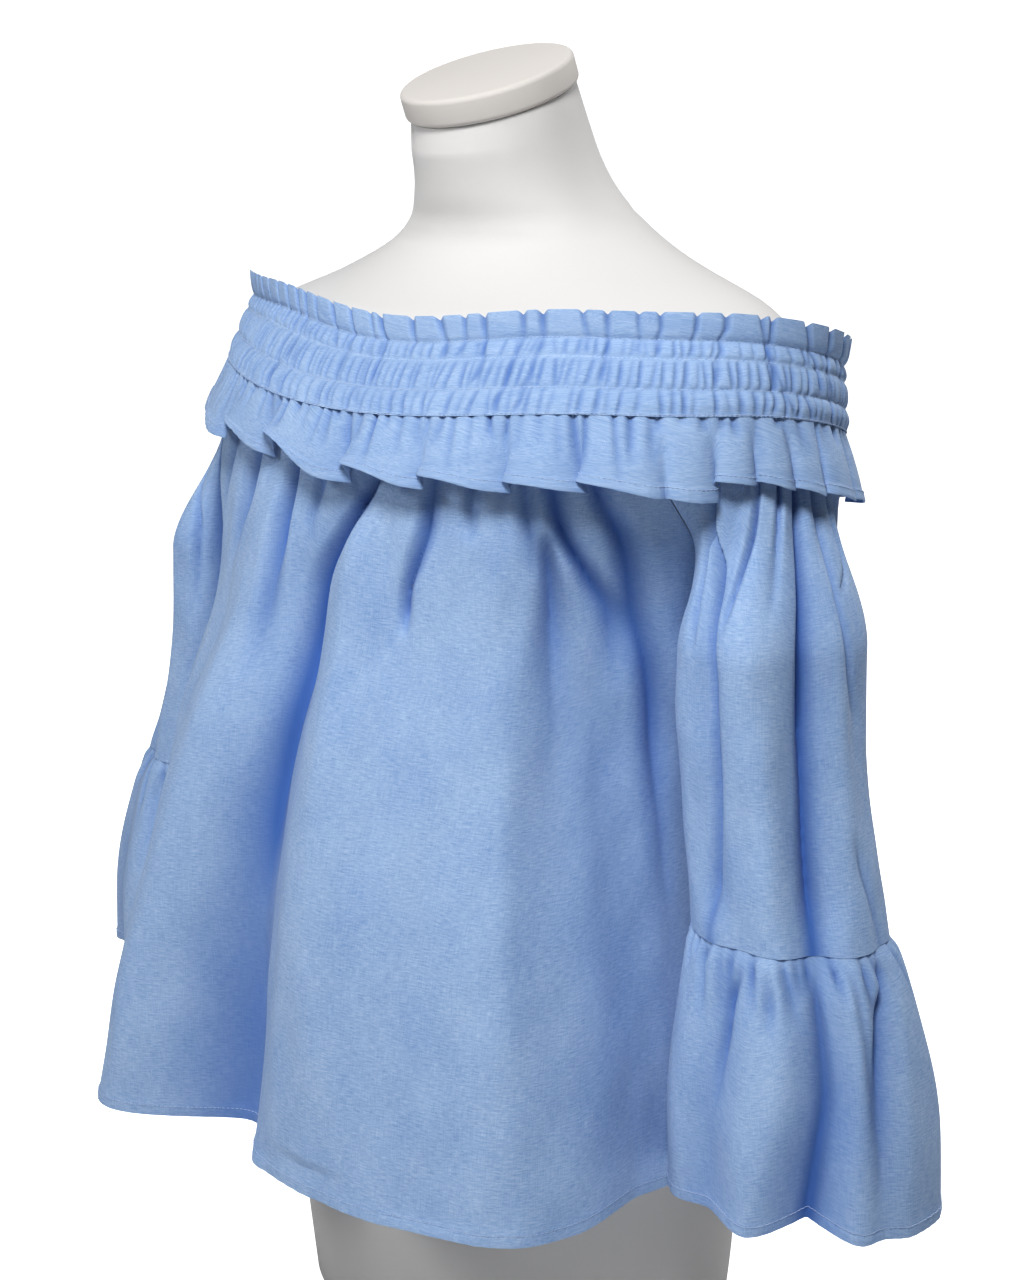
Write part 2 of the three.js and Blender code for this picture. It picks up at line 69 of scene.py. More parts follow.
# Studio: a pale floor that runs out to white, soft lights above the camera, before the form and
# behind it, and weak white light all round. None of it is part of the object.
bpy.ops.mesh.primitive_plane_add(size=1)
floor = bpy.context.object
floor.name = "studio_floor"
floor.data.transform(floor.matrix_world)
bpy.ops.object.mode_set(mode="EDIT")
bpy.ops.transform.resize(value=(24, 24, 1))
bpy.ops.object.mode_set(mode="OBJECT")
floor_paint = bpy.data.materials.new("studio_paint")
floor_paint.use_nodes = True
paint = floor_paint.node_tree.nodes["Principled BSDF"]
preset(paint, {
    "Base Color": (0.86, 0.86, 0.86, 1), "Roughness": 0.9, "Specular IOR Level": 0.1,
    "Emission Color": (1, 1, 1, 1),
})
floor_rays = floor_paint.node_tree.nodes.new("ShaderNodeLightPath")
floor_glow = floor_paint.node_tree.nodes.new("ShaderNodeMapRange")
floor_glow.inputs["To Max"].default_value = 1.0
floor_paint.node_tree.links.new(floor_rays.outputs["Is Camera Ray"], floor_glow.inputs["Value"])
floor_paint.node_tree.links.new(floor_glow.outputs["Result"], paint.inputs["Emission Strength"])
floor.data.materials.append(floor_paint)

world = bpy.data.worlds.new("studio_air")
scene.world = world
world.use_nodes = True
air = world.node_tree.nodes["Background"]
air.inputs["Color"].default_value = (1, 1, 1, 1)
rays = world.node_tree.nodes.new("ShaderNodeLightPath")
seen = world.node_tree.nodes.new("ShaderNodeMapRange")
preset(seen, {"To Min": 0.05, "To Max": 1.0})
world.node_tree.links.new(rays.outputs["Is Camera Ray"], seen.inputs["Value"])
world.node_tree.links.new(seen.outputs["Result"], air.inputs["Strength"])


def soft_light(name, place, aim, size, watts):
    bpy.ops.object.light_add(type="AREA", location=place)
    lamp = bpy.context.object
    lamp.name = name
    lamp.data.shape = "DISK"
    lamp.data.size = size
    lamp.data.energy = watts
    lamp.rotation_euler = (Vector(aim) - Vector(place)).to_track_quat("-Z", "Y").to_euler()


soft_light("camera_side_light", (0.75, -0.95, 1.9), (0, 0, 0.5), 0.6, 25)
soft_light("back_light", (0.2, 2.2, 1.7), (0, 0, 0.45), 1.0, 24)
soft_light("front_light", (-1.2, -2.2, 1.9), (0, 0, 0.45), 0.7, 19)

# Dress form: a limbless torso of moulded foam under a tight off-white jersey cover, with a
# short neck. The cover has a seam round the base of the neck.
MILLI = 0.001
FORM_ACROSS = 112
FORM_UP = 190
CAP_HALF_WIDTH = 56.5
CAP_HALF_DEPTH = 50.5
CAP_THICKNESS = 17
CAP_SLOPE = 21
CAP_MIDDLE_Y = -23
CAP_TOP = 792.5
NECK_SEAM = 704
SEAM_GAP = 0.3
# Columns: height, half width, half depth, middle y, slope in degrees
form_rings = np.array([
    (0, 158, 110, 0, 0), (70, 165, 117, 0, 0), (150, 167, 119, 0, 0), (230, 148, 107, 0, 0),
    (290, 124, 93, -2, 0), (340, 113, 84, -3, 0), (400, 120, 91, -6, 0), (460, 134, 104, -10, 0),
    (520, 148, 114, -10, 0), (560, 168, 118, -6, 0), (590, 196, 121, 0, 0), (612, 204, 122, 2, 0),
    (632, 205, 115.1, 4.6, 0), (644, 203, 110.1, 3.1, 0), (652, 196, 105.2, 1.6, 0),
    (661, 176, 97, 8, 0), (673, 143, 84, 12, 0), (690, 104, 69, 12, 1), (706, 80, 61, 9, 2),
    (722, 66.5, 57, 1.5, 4), (738, 59.5, 53.5, -5, 8), (755, 56, 51, -11, 13),
])


def along(places, values, at):
    """Smooth curve through values at rising places, read off at the places in at."""
    places, values = np.asarray(places, float), np.asarray(values, float)
    if len(places) < 3:
        return np.interp(at, places, values)
    steps = np.diff(places)
    rises = np.diff(values) / steps
    slopes = np.concatenate([rises[:1], (rises[:-1] + rises[1:]) / 2, rises[-1:]])
    slopes[1:-1] = np.where(rises[:-1] * rises[1:] <= 0, 0, slopes[1:-1])
    at = np.clip(at, places[0], places[-1])
    k = np.clip(np.searchsorted(places, at, side="right") - 1, 0, len(steps) - 1)
    t = (at - places[k]) / steps[k]
    return (
        values[k] * (1 + 2 * t) * (1 - t) ** 2
        + slopes[k] * steps[k] * t * (1 - t) ** 2
        + values[k + 1] * t ** 2 * (3 - 2 * t)
        + slopes[k + 1] * steps[k] * t ** 2 * (t - 1)
    )


def ease(x):
    x = np.clip(x, 0, 1)
    return x * x * (3 - 2 * x)


def hump(x):
    """One in the middle, and down to nothing at one to each side."""
    return 0.5 + 0.5 * np.cos(np.pi * np.clip(np.abs(x), 0, 1))


def shaped_grid(name, columns, rows, place, closed=False):
    """A grid primitive with each point put where place(u, v) says, in millimetres.

    A fourth value of place is how deep in a fold the point lies, from 0 to 1, kept as painted shade for the
    cloth's colour.
    Its UV map is in metres along the surface, from its middle column and its lowest row."""
    bpy.ops.object.select_all(action="DESELECT")
    bpy.ops.mesh.primitive_grid_add(x_subdivisions=columns, y_subdivisions=rows, size=2)
    piece = bpy.context.object
    piece.name = name
    piece.data.name = name
    mesh = piece.data
    flat = np.empty(len(mesh.vertices) * 3)
    mesh.vertices.foreach_get("co", flat)
    across = np.rint((flat[0::3] + 1) / 2 * columns).astype(int)
    up = np.rint((flat[1::3] + 1) / 2 * rows).astype(int)
    u, v = np.meshgrid(np.arange(columns + 1) / columns, np.arange(rows + 1) / rows)
    placed = place(u, v)
    points = np.stack(placed[:3], -1) * MILLI
    mesh.vertices.foreach_set("co", points[up, across].ravel())
    # The fourth value is stored as an attribute that darkens the cloth's colour: painted shade in the folds.
    if len(placed) > 3:
        painted_fold_shade = mesh.attributes.new("painted_fold_shade", "FLOAT", "POINT")
        painted_fold_shade.data.foreach_set("value", np.clip(placed[3], 0, 1)[up, across].astype(np.float32))
    side = np.linalg.norm(np.diff(points, axis=1), axis=2)
    side = np.concatenate([np.zeros((rows + 1, 1)), np.cumsum(side, axis=1)], axis=1)
    side -= side[:, columns // 2, None]
    rise = np.linalg.norm(np.diff(points, axis=0), axis=2)
    rise = np.concatenate([np.zeros((1, columns + 1)), np.cumsum(rise, axis=0)], axis=0)
    corner = np.empty(len(mesh.loops), int)
    mesh.loops.foreach_get("vertex_index", corner)
    spread = np.stack([side[up, across][corner], rise[up, across][corner]], -1)
    mesh.uv_layers[0].data.foreach_set("uv", spread.ravel())
    mesh.update()
    if closed:
        bpy.ops.object.mode_set(mode="EDIT")
        bpy.ops.mesh.select_all(action="SELECT")
        bpy.ops.mesh.remove_doubles(threshold=1e-6)
        bpy.ops.object.mode_set(mode="OBJECT")
    return piece


def form_surface(u, v):
    angle = 2 * np.pi * u
    z = form_rings[-1, 0] * v
    columns = [along(form_rings[:, 0], form_rings[:, k], z) for k in range(1, 5)]
    half_width, half_depth, middle, slope = columns
    seam = np.exp(-(((z - NECK_SEAM - 9 * np.sin(angle)) / 1.5) ** 2))
    half_width, half_depth = half_width - 0.9 * seam, half_depth - 0.9 * seam
    back = half_depth * np.sin(angle)
    return half_width * np.cos(angle), middle + back, z + back * np.tan(np.radians(slope))


def neck_surface(u, v):
    """Last stretch, from the neck's highest level ring to the tilted underside of the cap."""
    angle = 2 * np.pi * u
    low = form_surface(u, np.ones_like(v))
    below = CAP_THICKNESS + SEAM_GAP
    tilt = math.radians(CAP_SLOPE)
    rise = (CAP_HALF_DEPTH - 2.5) * np.sin(angle)
    high = (
        (CAP_HALF_WIDTH - 2.5) * np.cos(angle),
        CAP_MIDDLE_Y + rise * math.cos(tilt) + below * math.sin(tilt),
        CAP_TOP + rise * math.sin(tilt) - below * math.cos(tilt),
    )
    return [a + (b - a) * v for a, b in zip(low, high)]


def whole_form(u, v):
    """Torso and neck, with the first and last rows drawn in to close both ends."""
    end = 1 / FORM_UP
    side = np.clip((v - end) / (1 - 2 * end), 0, 1)
    neck = 0.94
    body = form_surface(u, np.clip(side / neck, 0, 1))
    top = neck_surface(u, np.clip((side - neck) / (1 - neck), 0, 1))
    skin = [np.where(side <= neck, a, b) for a, b in zip(body, top)]
    closing = (v == 0) | (v == 1)
    return [np.where(closing, row.mean(axis=1, keepdims=True), row) for row in skin]


def linked(tree, kind, **settings):
    node = tree.nodes.new(kind)
    for key, value in settings.items():
        setattr(node, key, value)
    return node


def jersey_cover(name, colour):
    cover = bpy.data.materials.new(name)
    cover.use_nodes = True
    tree = cover.node_tree
    shader = tree.nodes["Principled BSDF"]
    preset(shader, {"Roughness": 0.85, "Specular IOR Level": 0.2, "Sheen Weight": 0.15})
    place = linked(tree, "ShaderNodeTexCoord")
    stitches = linked(tree, "ShaderNodeMapping")
    preset(stitches, {"Scale": (900, 900, 1300)})
    tree.links.new(place.outputs["Object"], stitches.inputs["Vector"])
    knit = linked(tree, "ShaderNodeTexNoise")
    preset(knit, {"Scale": 1.0, "Detail": 2})
    tree.links.new(stitches.outputs["Vector"], knit.inputs["Vector"])
    cloudy = linked(tree, "ShaderNodeTexNoise")
    preset(cloudy, {"Scale": 14})
    tree.links.new(place.outputs["Object"], cloudy.inputs["Vector"])
    tone = linked(tree, "ShaderNodeMapRange")
    preset(tone, {"To Min": 0.975, "To Max": 1.015})
    tree.links.new(cloudy.outputs["Fac"], tone.inputs["Value"])
    tint = linked(tree, "ShaderNodeMix", data_type="RGBA", blend_type="MULTIPLY")
    preset(tint, {"Factor": 1, "A": colour})
    tree.links.new(tone.outputs["Result"], tint.inputs["B"])
    tree.links.new(tint.outputs["Result"], shader.inputs["Base Color"])
    relief = linked(tree, "ShaderNodeBump")
    preset(relief, {"Strength": 0.12, "Distance": 0.0004})
    tree.links.new(knit.outputs["Fac"], relief.inputs["Height"])
    tree.links.new(relief.outputs["Normal"], shader.inputs["Normal"])
    return cover


jersey = jersey_cover("off_white_jersey", (0.70, 0.69, 0.68, 1))
torso = shaped_grid("dress_form_torso", FORM_ACROSS, FORM_UP, whole_form, closed=True)
bpy.ops.object.shade_smooth_by_angle(angle=math.radians(50))
torso.data.materials.append(jersey)
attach(torso, "root")
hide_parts("form_torso")

# Neck cap: a flat disc under the same jersey, tilted down to the front, with a soft rim.
# It sits on the neck with a fine line between them.
CAP_EDGE = 3.2
bpy.ops.mesh.primitive_cylinder_add(vertices=144, radius=1, depth=1)
cap = bpy.context.object
cap.name = "dress_form_cap"
cap.data.name = cap.name
cap.scale = (CAP_HALF_WIDTH * MILLI, CAP_HALF_DEPTH * MILLI, CAP_THICKNESS * MILLI)
bpy.ops.object.transform_apply(scale=True)
soft_rim = cap.modifiers.new("soft_rim", "BEVEL")
soft_rim.width = CAP_EDGE * MILLI
soft_rim.segments = 6
bpy.ops.object.modifier_apply(modifier=soft_rim.name)
cap_middle_down = CAP_THICKNESS / 2
cap.rotation_euler = (math.radians(CAP_SLOPE), 0, 0)
cap.location = (
    0,
    (CAP_MIDDLE_Y + cap_middle_down * math.sin(math.radians(CAP_SLOPE))) * MILLI,
    (CAP_TOP - cap_middle_down * math.cos(math.radians(CAP_SLOPE))) * MILLI,
)
bpy.ops.object.transform_apply(location=True, rotation=True)
bpy.ops.object.shade_smooth_by_angle(angle=math.radians(40))
cap.data.materials.append(jersey_cover("cap_jersey", (0.66, 0.63, 0.60, 1)))
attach(cap, "root")
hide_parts("form_neck_cap")

# Chambray: plain weave of blue warp and white weft, with slubs. The cloth of the whole top.
# Painted shade: the hollows of its folds are coloured a deeper, darker blue.
CLOTH = 1.0
# Wall of the solids, which stand for the same cloth
SOLID_CLOTH = 1.3


def chambray_weave():
    """Shader group: colour and height of the weave at a place on the cloth in metres, with painted shade in
    the fold hollows mixed into the colour.
    """
    group = bpy.data.node_groups.new("chambray_weave", "ShaderNodeTree")
    face = group.interface
    face.new_socket("Cloth Place", in_out="INPUT", socket_type="NodeSocketVector")
    face.new_socket("Painted Fold Shade", in_out="INPUT", socket_type="NodeSocketFloat")
    face.new_socket("Pale Thread", in_out="INPUT", socket_type="NodeSocketColor")
    face.new_socket("Blue Thread", in_out="INPUT", socket_type="NodeSocketColor")
    face.new_socket("Painted Shade Blue", in_out="INPUT", socket_type="NodeSocketColor")
    face.new_socket("Colour", in_out="OUTPUT", socket_type="NodeSocketColor")
    face.new_socket("Height", in_out="OUTPUT", socket_type="NodeSocketFloat")
    start = linked(group, "NodeGroupInput")
    end = linked(group, "NodeGroupOutput")
    link = group.links.new

    def streaks(scale, detail):
        stretch = linked(group, "ShaderNodeMapping")
        preset(stretch, {"Scale": scale})
        noise = linked(group, "ShaderNodeTexNoise")
        preset(noise, {"Scale": 1, "Detail": detail})
        link(start.outputs["Cloth Place"], stretch.inputs["Vector"])
        link(stretch.outputs["Vector"], noise.inputs["Vector"])
        return noise.outputs["Fac"]

    def sums(a, b, how="ADD"):
        node = linked(group, "ShaderNodeMath", operation=how)
        for socket, value in zip(node.inputs, (a, b)):
            if isinstance(value, (int, float)):
                socket.default_value = value
            else:
                link(value, socket)
        return node.outputs["Value"]

    weft = streaks((200, 1400, 1), 3)
    warp = streaks((1500, 90, 1), 2)
    grain = streaks((900, 900, 1), 1)
    slubs = streaks((120, 850, 1), 2)
    cloud = streaks((28, 22, 1), 2)
    mixed = sums(sums(weft, 0.62, "MULTIPLY"), sums(warp, 0.3, "MULTIPLY"))
    mixed = sums(mixed, sums(grain, 0.22, "MULTIPLY"))
    mixed = sums(mixed, sums(slubs, 0.3, "MULTIPLY"))
    mixed = sums(mixed, sums(cloud, 0.3, "MULTIPLY"))
    mask = linked(group, "ShaderNodeMapRange")
    preset(mask, {"From Min": 0.66, "From Max": 1.08})
    link(mixed, mask.inputs["Value"])
    threads = linked(group, "ShaderNodeMix", data_type="RGBA")
    link(mask.outputs["Result"], threads.inputs["Factor"])
    link(start.outputs["Blue Thread"], threads.inputs["A"])
    link(start.outputs["Pale Thread"], threads.inputs["B"])
    # Painted shade: the colour goes towards a dark blue as far as the point lies in a fold's hollow.
    deep = linked(group, "ShaderNodeMix", data_type="RGBA")
    link(start.outputs["Painted Fold Shade"], deep.inputs["Factor"])
    link(threads.outputs["Result"], deep.inputs["A"])
    link(start.outputs["Painted Shade Blue"], deep.inputs["B"])
    link(deep.outputs["Result"], end.inputs["Colour"])
    link(sums(sums(weft, 0.6, "MULTIPLY"), sums(warp, 0.6, "MULTIPLY")), end.inputs["Height"])
    return group


weave = chambray_weave()


def chambray(name, pale, blue, painted_shade_blue):
    cloth = bpy.data.materials.new(name)
    cloth.use_nodes = True
    tree = cloth.node_tree
    shader = tree.nodes["Principled BSDF"]
    preset(shader, {
        "Roughness": 0.82, "Specular IOR Level": 0.25, "Sheen Weight": 0.08, "Sheen Roughness": 0.5,
    })
    threads = linked(tree, "ShaderNodeGroup", node_tree=weave)
    preset(threads, {"Pale Thread": pale, "Blue Thread": blue, "Painted Shade Blue": painted_shade_blue})
    place = linked(tree, "ShaderNodeUVMap", uv_map="UVMap")
    # Reads the painted shade that each piece stores by how deep in a fold a point lies.
    painted_fold_shade = linked(tree, "ShaderNodeAttribute", attribute_name="painted_fold_shade")
    tree.links.new(place.outputs["UV"], threads.inputs["Cloth Place"])
    tree.links.new(painted_fold_shade.outputs["Fac"], threads.inputs["Painted Fold Shade"])
    tree.links.new(threads.outputs["Colour"], shader.inputs["Base Color"])
    relief = linked(tree, "ShaderNodeBump")
    preset(relief, {"Strength": 0.35, "Distance": 0.0005})
    tree.links.new(threads.outputs["Height"], relief.inputs["Height"])
    tree.links.new(relief.outputs["Normal"], shader.inputs["Normal"])
    return cloth


# Pale thread, blue thread, and the dark blue of the painted shade in fold hollows.
top_cloth = chambray(
    "blue_chambray",
    (0.43, 0.57, 0.78, 1), (0.215, 0.345, 0.61, 1), (0.07, 0.165, 0.46, 1),
)


def crease_depth(creases, direction, height, sharp, wraps=360.0):
    """Depth that a table of creases gives at each point.

    A crease is a list of (height, direction, half width, depth) from high to low."""
    depth = np.zeros(np.broadcast(direction, height).shape)
    for crease in creases:
        steps = np.array(crease, float)[::-1]
        near = (height >= steps[0, 0]) & (height <= steps[-1, 0])
        if not near.any():
            continue
        d = np.broadcast_to(direction, depth.shape)[near]
        z = np.broadcast_to(height, depth.shape)[near]
        middle, width, deep = [along(steps[:, 0], steps[:, k], z) for k in (1, 2, 3)]
        away = d - middle
        away -= wraps * np.rint(away / wraps)
        away = np.clip(np.abs(away / width), 0, 1)
        soft = hump(away)
        depth[near] += deep * (soft + (((1 - away) ** 2) - soft) * sharp)
    return depth


# How the band is worn, in millimetres: dip at the front, fall behind, and lift all round
FRONT_DIP = 10.5
BACK_FALL = 40
BAND_LIFT = 3
# Shares: how much lower towards the wearer's left, and how far the foot is drawn in
LEFT_TILT = 0.017
FOOT_DRAWN_IN = 0.075


def worn(x, y, z):
    """Moves a point as the top is worn: all of it at the band, none from the underarm down.

    It dips at the front, hangs low behind and a little low on the wearer's left, and the
    band's foot is drawn in before the right shoulder."""
    share = ease((z - 480) / 130)
    direction = np.degrees(np.arctan2((y - BAND_FOOT[3]) / BAND_FOOT[2], x / BAND_FOOT[1]))
    turned = np.mod(direction + 90, 360) - 90
    dip = FRONT_DIP * hump((direction + 86) / 45)
    fall = BACK_FALL * ease((turned + 20) / 92) * (1 - ease((turned - 164) / 43))
    inward = 1 - FOOT_DRAWN_IN * (hump((direction + 142) / 45) * hump((z - 608) / 72))
    return x * inward, y * inward, z + share * (BAND_LIFT - LEFT_TILT * x - dip - fall)


def finish_cloth(piece, thickness):
    """Gives a single layer its thickness, inwards, and smooth shading."""
    if thickness:
        wall = piece.modifiers.new("wall", "SOLIDIFY")
        wall.thickness = thickness * MILLI
        wall.offset = -1
        bpy.ops.object.modifier_apply(modifier=wall.name)
    bpy.ops.object.shade_smooth_by_angle(angle=math.radians(62))
    piece.data.materials.append(top_cloth)
    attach(piece, "root")


# Neckband: a strip of chambray folded at the top and gathered by three elastic channels,
# with a short frill above the first. It rests on the front of the form's shoulders.
BAND_TOP = 662
BAND_BOTTOM = 610
BAND_ACROSS = 1560
BAND_OUTSIDE = 46
BAND_ROWS = 56
# Columns: height, half width, half depth, middle y, dip at the front
band_rings = np.array([
    (610, 236.5, 141.0, -5.5, 0), (622, 234.5, 134.0, -1, 0.6), (635, 231.5, 126.0, 4.5, 1),
    (641, 230.0, 122.5, 7, 1.2), (648, 228.0, 119.0, 10, 1.6), (662, 229.5, 117.5, 13, 2),
])
BAND_FOOT = band_rings[0]
CHANNEL_SEAMS = {"top": 648.6, "middle": 638.8, "low": 623.6, "foot": 610.8}
# Per millimetre of height: how the band narrows, moves back and grows shallower
NARROWS, MOVES_BACK, SHALLOWS = 0.135, 0.356, 0.452


def ring_table():
    angle = np.linspace(0, 2 * np.pi, 2001)
    x, y = 234 * np.cos(angle), 132 * np.sin(angle)
    return angle, np.concatenate([[0], np.cumsum(np.hypot(np.diff(x), np.diff(y)))])


ring_angle, ring_run = ring_table()
BAND_LENGTH = ring_run[-1]


def band_angle(run):
    """Direction round the band's ellipse at a distance in millimetres along it."""
    turns = np.floor(run / BAND_LENGTH)
    return np.interp(run - turns * BAND_LENGTH, ring_run, ring_angle) + turns * 2 * np.pi


def band_gathers():
    """Main gathers run through most channels; short ones fill each channel between them."""
    draw = np.random.default_rng(11)
    main, short = [], []
    levels = (666, 656, 648.6, 643.5, 638.8, 631, 623.6, 617, 610)
    deeps = (3.8, 3.5, 1.9, 3.3, 1.8, 3.1, 1.8, 3.2, 2.2)
    count = 66
    for k in range(count):
        run = (k + 0.5 + draw.uniform(-0.33, 0.33)) * BAND_LENGTH / count
        slant = draw.normal(0, 0.09)
        strength = draw.uniform(0.45, 1.15)
        ends = draw.choice([610, 610, 623.6, 638.8])
        crease = []
        for z, deep in zip(levels, deeps):
            run += draw.normal(0, 0.9) + slant * 8
            held = 1.0 if z > ends else 0.0
            crease.append((z, run, draw.uniform(2.6, 4.2), deep * strength * held))
        main.append(crease)
    for top, low, number, deep, width in (
        (648, 639.4, 150, 2.5, 2.5), (638.2, 624.2, 200, 2.9, 2.3), (623, 611, 150, 2.8, 2.6),
    ):
        for k in range(number):
            run = (k + draw.uniform(-0.35, 0.35)) * BAND_LENGTH / number
            lean = draw.normal(0, 1.3)
            d = deep * draw.uniform(0.35, 1.1)
            w = width * draw.uniform(0.8, 1.3)
            mid = (top + low) / 2
            short.append([
                (top, run, w, d * 0.6), (mid, run + lean / 2, w, d), (low, run + lean, w, d * 0.6),
            ])
    return main, short


main_gathers, short_gathers = band_gathers()


def band_outside(run, z):
    """Outer face of the band at a distance along it and a height on the strip."""
    angle = band_angle(run)
    half_width, half_depth, middle, dip = [
        along(band_rings[:, 0], band_rings[:, k], z) for k in (1, 2, 3, 4)
    ]
    heights = (
        610, 612.2, 617, 622.2, 623.6, 625, 631, 637.4, 638.8, 640.2, 643.6, 647.2, 648.6, 650.2, 655, 662,
    )
    puffs = (3.4, 3.9, 5.3, 3.9, 2.5, 3.7, 4.9, 3.7, 2.5, 3.6, 4.6, 3.7, 2.6, 3.9, 4.9, 4.6)
    puff = along(heights, puffs, z)
    across, deep = BAND_FOOT[1] * np.sin(angle), BAND_FOOT[2] * np.cos(angle)
    drift = NARROWS * across * np.cos(angle) + (MOVES_BACK - SHALLOWS * np.sin(angle)) * deep
    drift = drift / np.hypot(across, deep)
    lean_middle, lean_reach, lean = -103, 62, 0.6
    before = np.mod(np.degrees(angle) - lean_middle + 180, 360) - 180
    drift = drift + lean * ease(1 - np.abs(before) / lean_reach)
    upright = run + drift * (z - BAND_BOTTOM)
    gathers = crease_depth(main_gathers, upright, z, 0.8, BAND_LENGTH)
    gathers += crease_depth(short_gathers, upright, z, 0.7, BAND_LENGTH)
    gathers = 4.4 * (1 - np.exp(-gathers / 4.4))
    out = puff - gathers
    frill = ease((z - 650) / 12)
    lift = frill * (1.8 - 1.25 * gathers)
    front = np.maximum(0, -np.sin(angle)) ** 2
    x = (half_width + out) * np.cos(angle)
    y = middle + (half_depth + out) * np.sin(angle)
    return x, y, z - dip * front + lift, gathers, out


def band_surface(u, v):
    """Round the outside from the lower seam, over the fold and down the plain inside."""
    run = u * BAND_LENGTH
    outside = BAND_OUTSIDE / BAND_ROWS
    z = np.where(
        v <= outside,
        BAND_BOTTOM + (BAND_TOP - BAND_BOTTOM) * np.clip(v / outside, 0, 1),
        BAND_TOP - (BAND_TOP - BAND_BOTTOM) * np.clip((v - outside) / (1 - outside), 0, 1) ** 1.4,
    )
    x, y, height, gathers, out = band_outside(run, z)
    inside = np.clip((v - outside) * BAND_ROWS, 0, 1.0)
    gap = np.where(z > 655, 1.7, 1.7 + (out - 1.8) * ease((656 - z) / 6))
    away = inside * gap
    angle = band_angle(run)
    lowered = np.where(inside > 0, 0.5 * ease((z - 655) / 7), 0)
    # Painted shade: deeper blue in the gathers of the band's outside, none on the inside.
    painted_fold_shade = gathers / 3.4 * (1 - inside)
    place = worn(x - away * np.cos(angle), y - away * np.sin(angle), height - lowered)
    return *place, painted_fold_shade


neckband = shaped_grid("neckband_cloth", BAND_ACROSS, BAND_ROWS, band_surface, closed=True)
finish_cloth(neckband, 0)
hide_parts("neckband")

# Sewing thread: pale blue lockstitch that shows as short raised dashes on the cloth.
# Each row is a thin thread that dips through the cloth between its stitches.
THREAD_RADIUS = 0.24
STITCH_RISE = (-0.45, 0.16, 0.26, 0.16)
thread_look = bpy.data.materials.new("pale_blue_thread")
thread_look.use_nodes = True
thread_shader = thread_look.node_tree.nodes["Principled BSDF"]
preset(thread_shader, {"Roughness": 0.6})
thread_place = linked(thread_look.node_tree, "ShaderNodeTexCoord")
thread_twist = linked(thread_look.node_tree, "ShaderNodeTexNoise")
preset(thread_twist, {"Scale": 700})
thread_tone = linked(thread_look.node_tree, "ShaderNodeMix", data_type="RGBA")
preset(thread_tone, {"A": (0.40, 0.52, 0.76, 1), "B": (0.58, 0.69, 0.88, 1)})
thread_look.node_tree.links.new(thread_place.outputs["Object"], thread_twist.inputs["Vector"])
thread_look.node_tree.links.new(thread_twist.outputs["Fac"], thread_tone.inputs["Factor"])
thread_look.node_tree.links.new(thread_tone.outputs["Result"], thread_shader.inputs["Base Color"])


def sew(name, surface, row, stitch):
    """A row of stitches on a surface(u, v) along u, at the v that row says."""
    u = np.linspace(0, 1, 6001)
    line = np.stack(surface(u[None], np.full((1, u.size), row))[:3], -1)[0]
    run = np.concatenate([[0], np.cumsum(np.linalg.norm(np.diff(line, axis=0), axis=1))])
    count = int(run[-1] / stitch) * len(STITCH_RISE)
    at = np.linspace(0, run[-1], count + 1)
    u = np.interp(at, run, u)
    step = 1e-4
    v = np.full(u.size, row)
    here, ahead, above = [
        np.stack(surface(a[None], b[None])[:3], -1)[0]
        for a, b in ((u, v), (u + step, v), (u, v + step))
    ]
    forward = ahead - here
    forward /= np.linalg.norm(forward, axis=1)[:, None] + 1e-9
    out = np.cross(forward, above - here)
    out /= np.linalg.norm(out, axis=1)[:, None] + 1e-9
    rise = np.resize(STITCH_RISE, u.size)
    middle = here + out * rise[:, None]
    upward = np.cross(out, forward)

    def tube(a, b):
        k = np.rint(a * count).astype(int)
        turned = 2 * np.pi * b[..., None]
        point = middle[k] + THREAD_RADIUS * (np.cos(turned) * out[k] - np.sin(turned) * upward[k])
        return point[..., 0], point[..., 1], point[..., 2]

    thread = shaped_grid(name, count, 3, tube, closed=True)
    bpy.ops.object.shade_smooth()
    thread.data.materials.append(thread_look)
    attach(thread, "root")
    return thread


band_threads = [
    sew(
        "neckband_stitches_" + place, band_surface,
        (height - BAND_BOTTOM) / (BAND_TOP - BAND_BOTTOM) * BAND_OUTSIDE / BAND_ROWS, 2.6,
    )
    for place, height in CHANNEL_SEAMS.items()
]

# Neck flounce: a straight strip of chambray gathered into the foot of the neckband. It falls
# free in uneven ruffles that fold over each other, and ends in a narrow turned hem.
BELOW_BAND = 609.7
FLOUNCE_HEM = 570
FLOUNCE_ACROSS = 860
FLOUNCE_ROWS = 36
HEM_HEIGHT = 7.5
HEM_STEP = 0.55
STITCH_ABOVE_HEM = 6.4
# Columns: direction in degrees, overlap, how far in, lift of the hem, reach along the strip
flounce_folds = np.array([
    (-166, 10, 6, 5, 26), (-148, 14, 8, 8, 24), (-127, 10, 6, 8, 22), (-108, 21, 9, 13, 26),
    (-79.5, 21, 9, 8.5, 28), (-60, 13, 7, 7, 20), (-43.6, 18, 8, 6, 27), (-32.5, 19, 9, 6, 24),
    (-22, 3, 5, 1, 12), (-15.5, 12, 8, 8, 15), (-10.3, 8, 8, 3, 11), (-5, 8, 8, 3, 11),
    (0.5, 8, 8, 2.5, 12), (8, 9, 7, 2, 15), (20, 13, 8, 4, 20), (33, 12, 7, 5, 22),
    (50, 17, 8, 9, 24), (68, 14, 7, 8, 26), (88, 18, 8, 9, 28), (106, 15, 8, 8, 24),
    (124, 12, 7, 7, 24), (143, 17, 8, 9, 24), (160, 11, 6, 6, 22), (176, 9, 6, 6, 20),
])


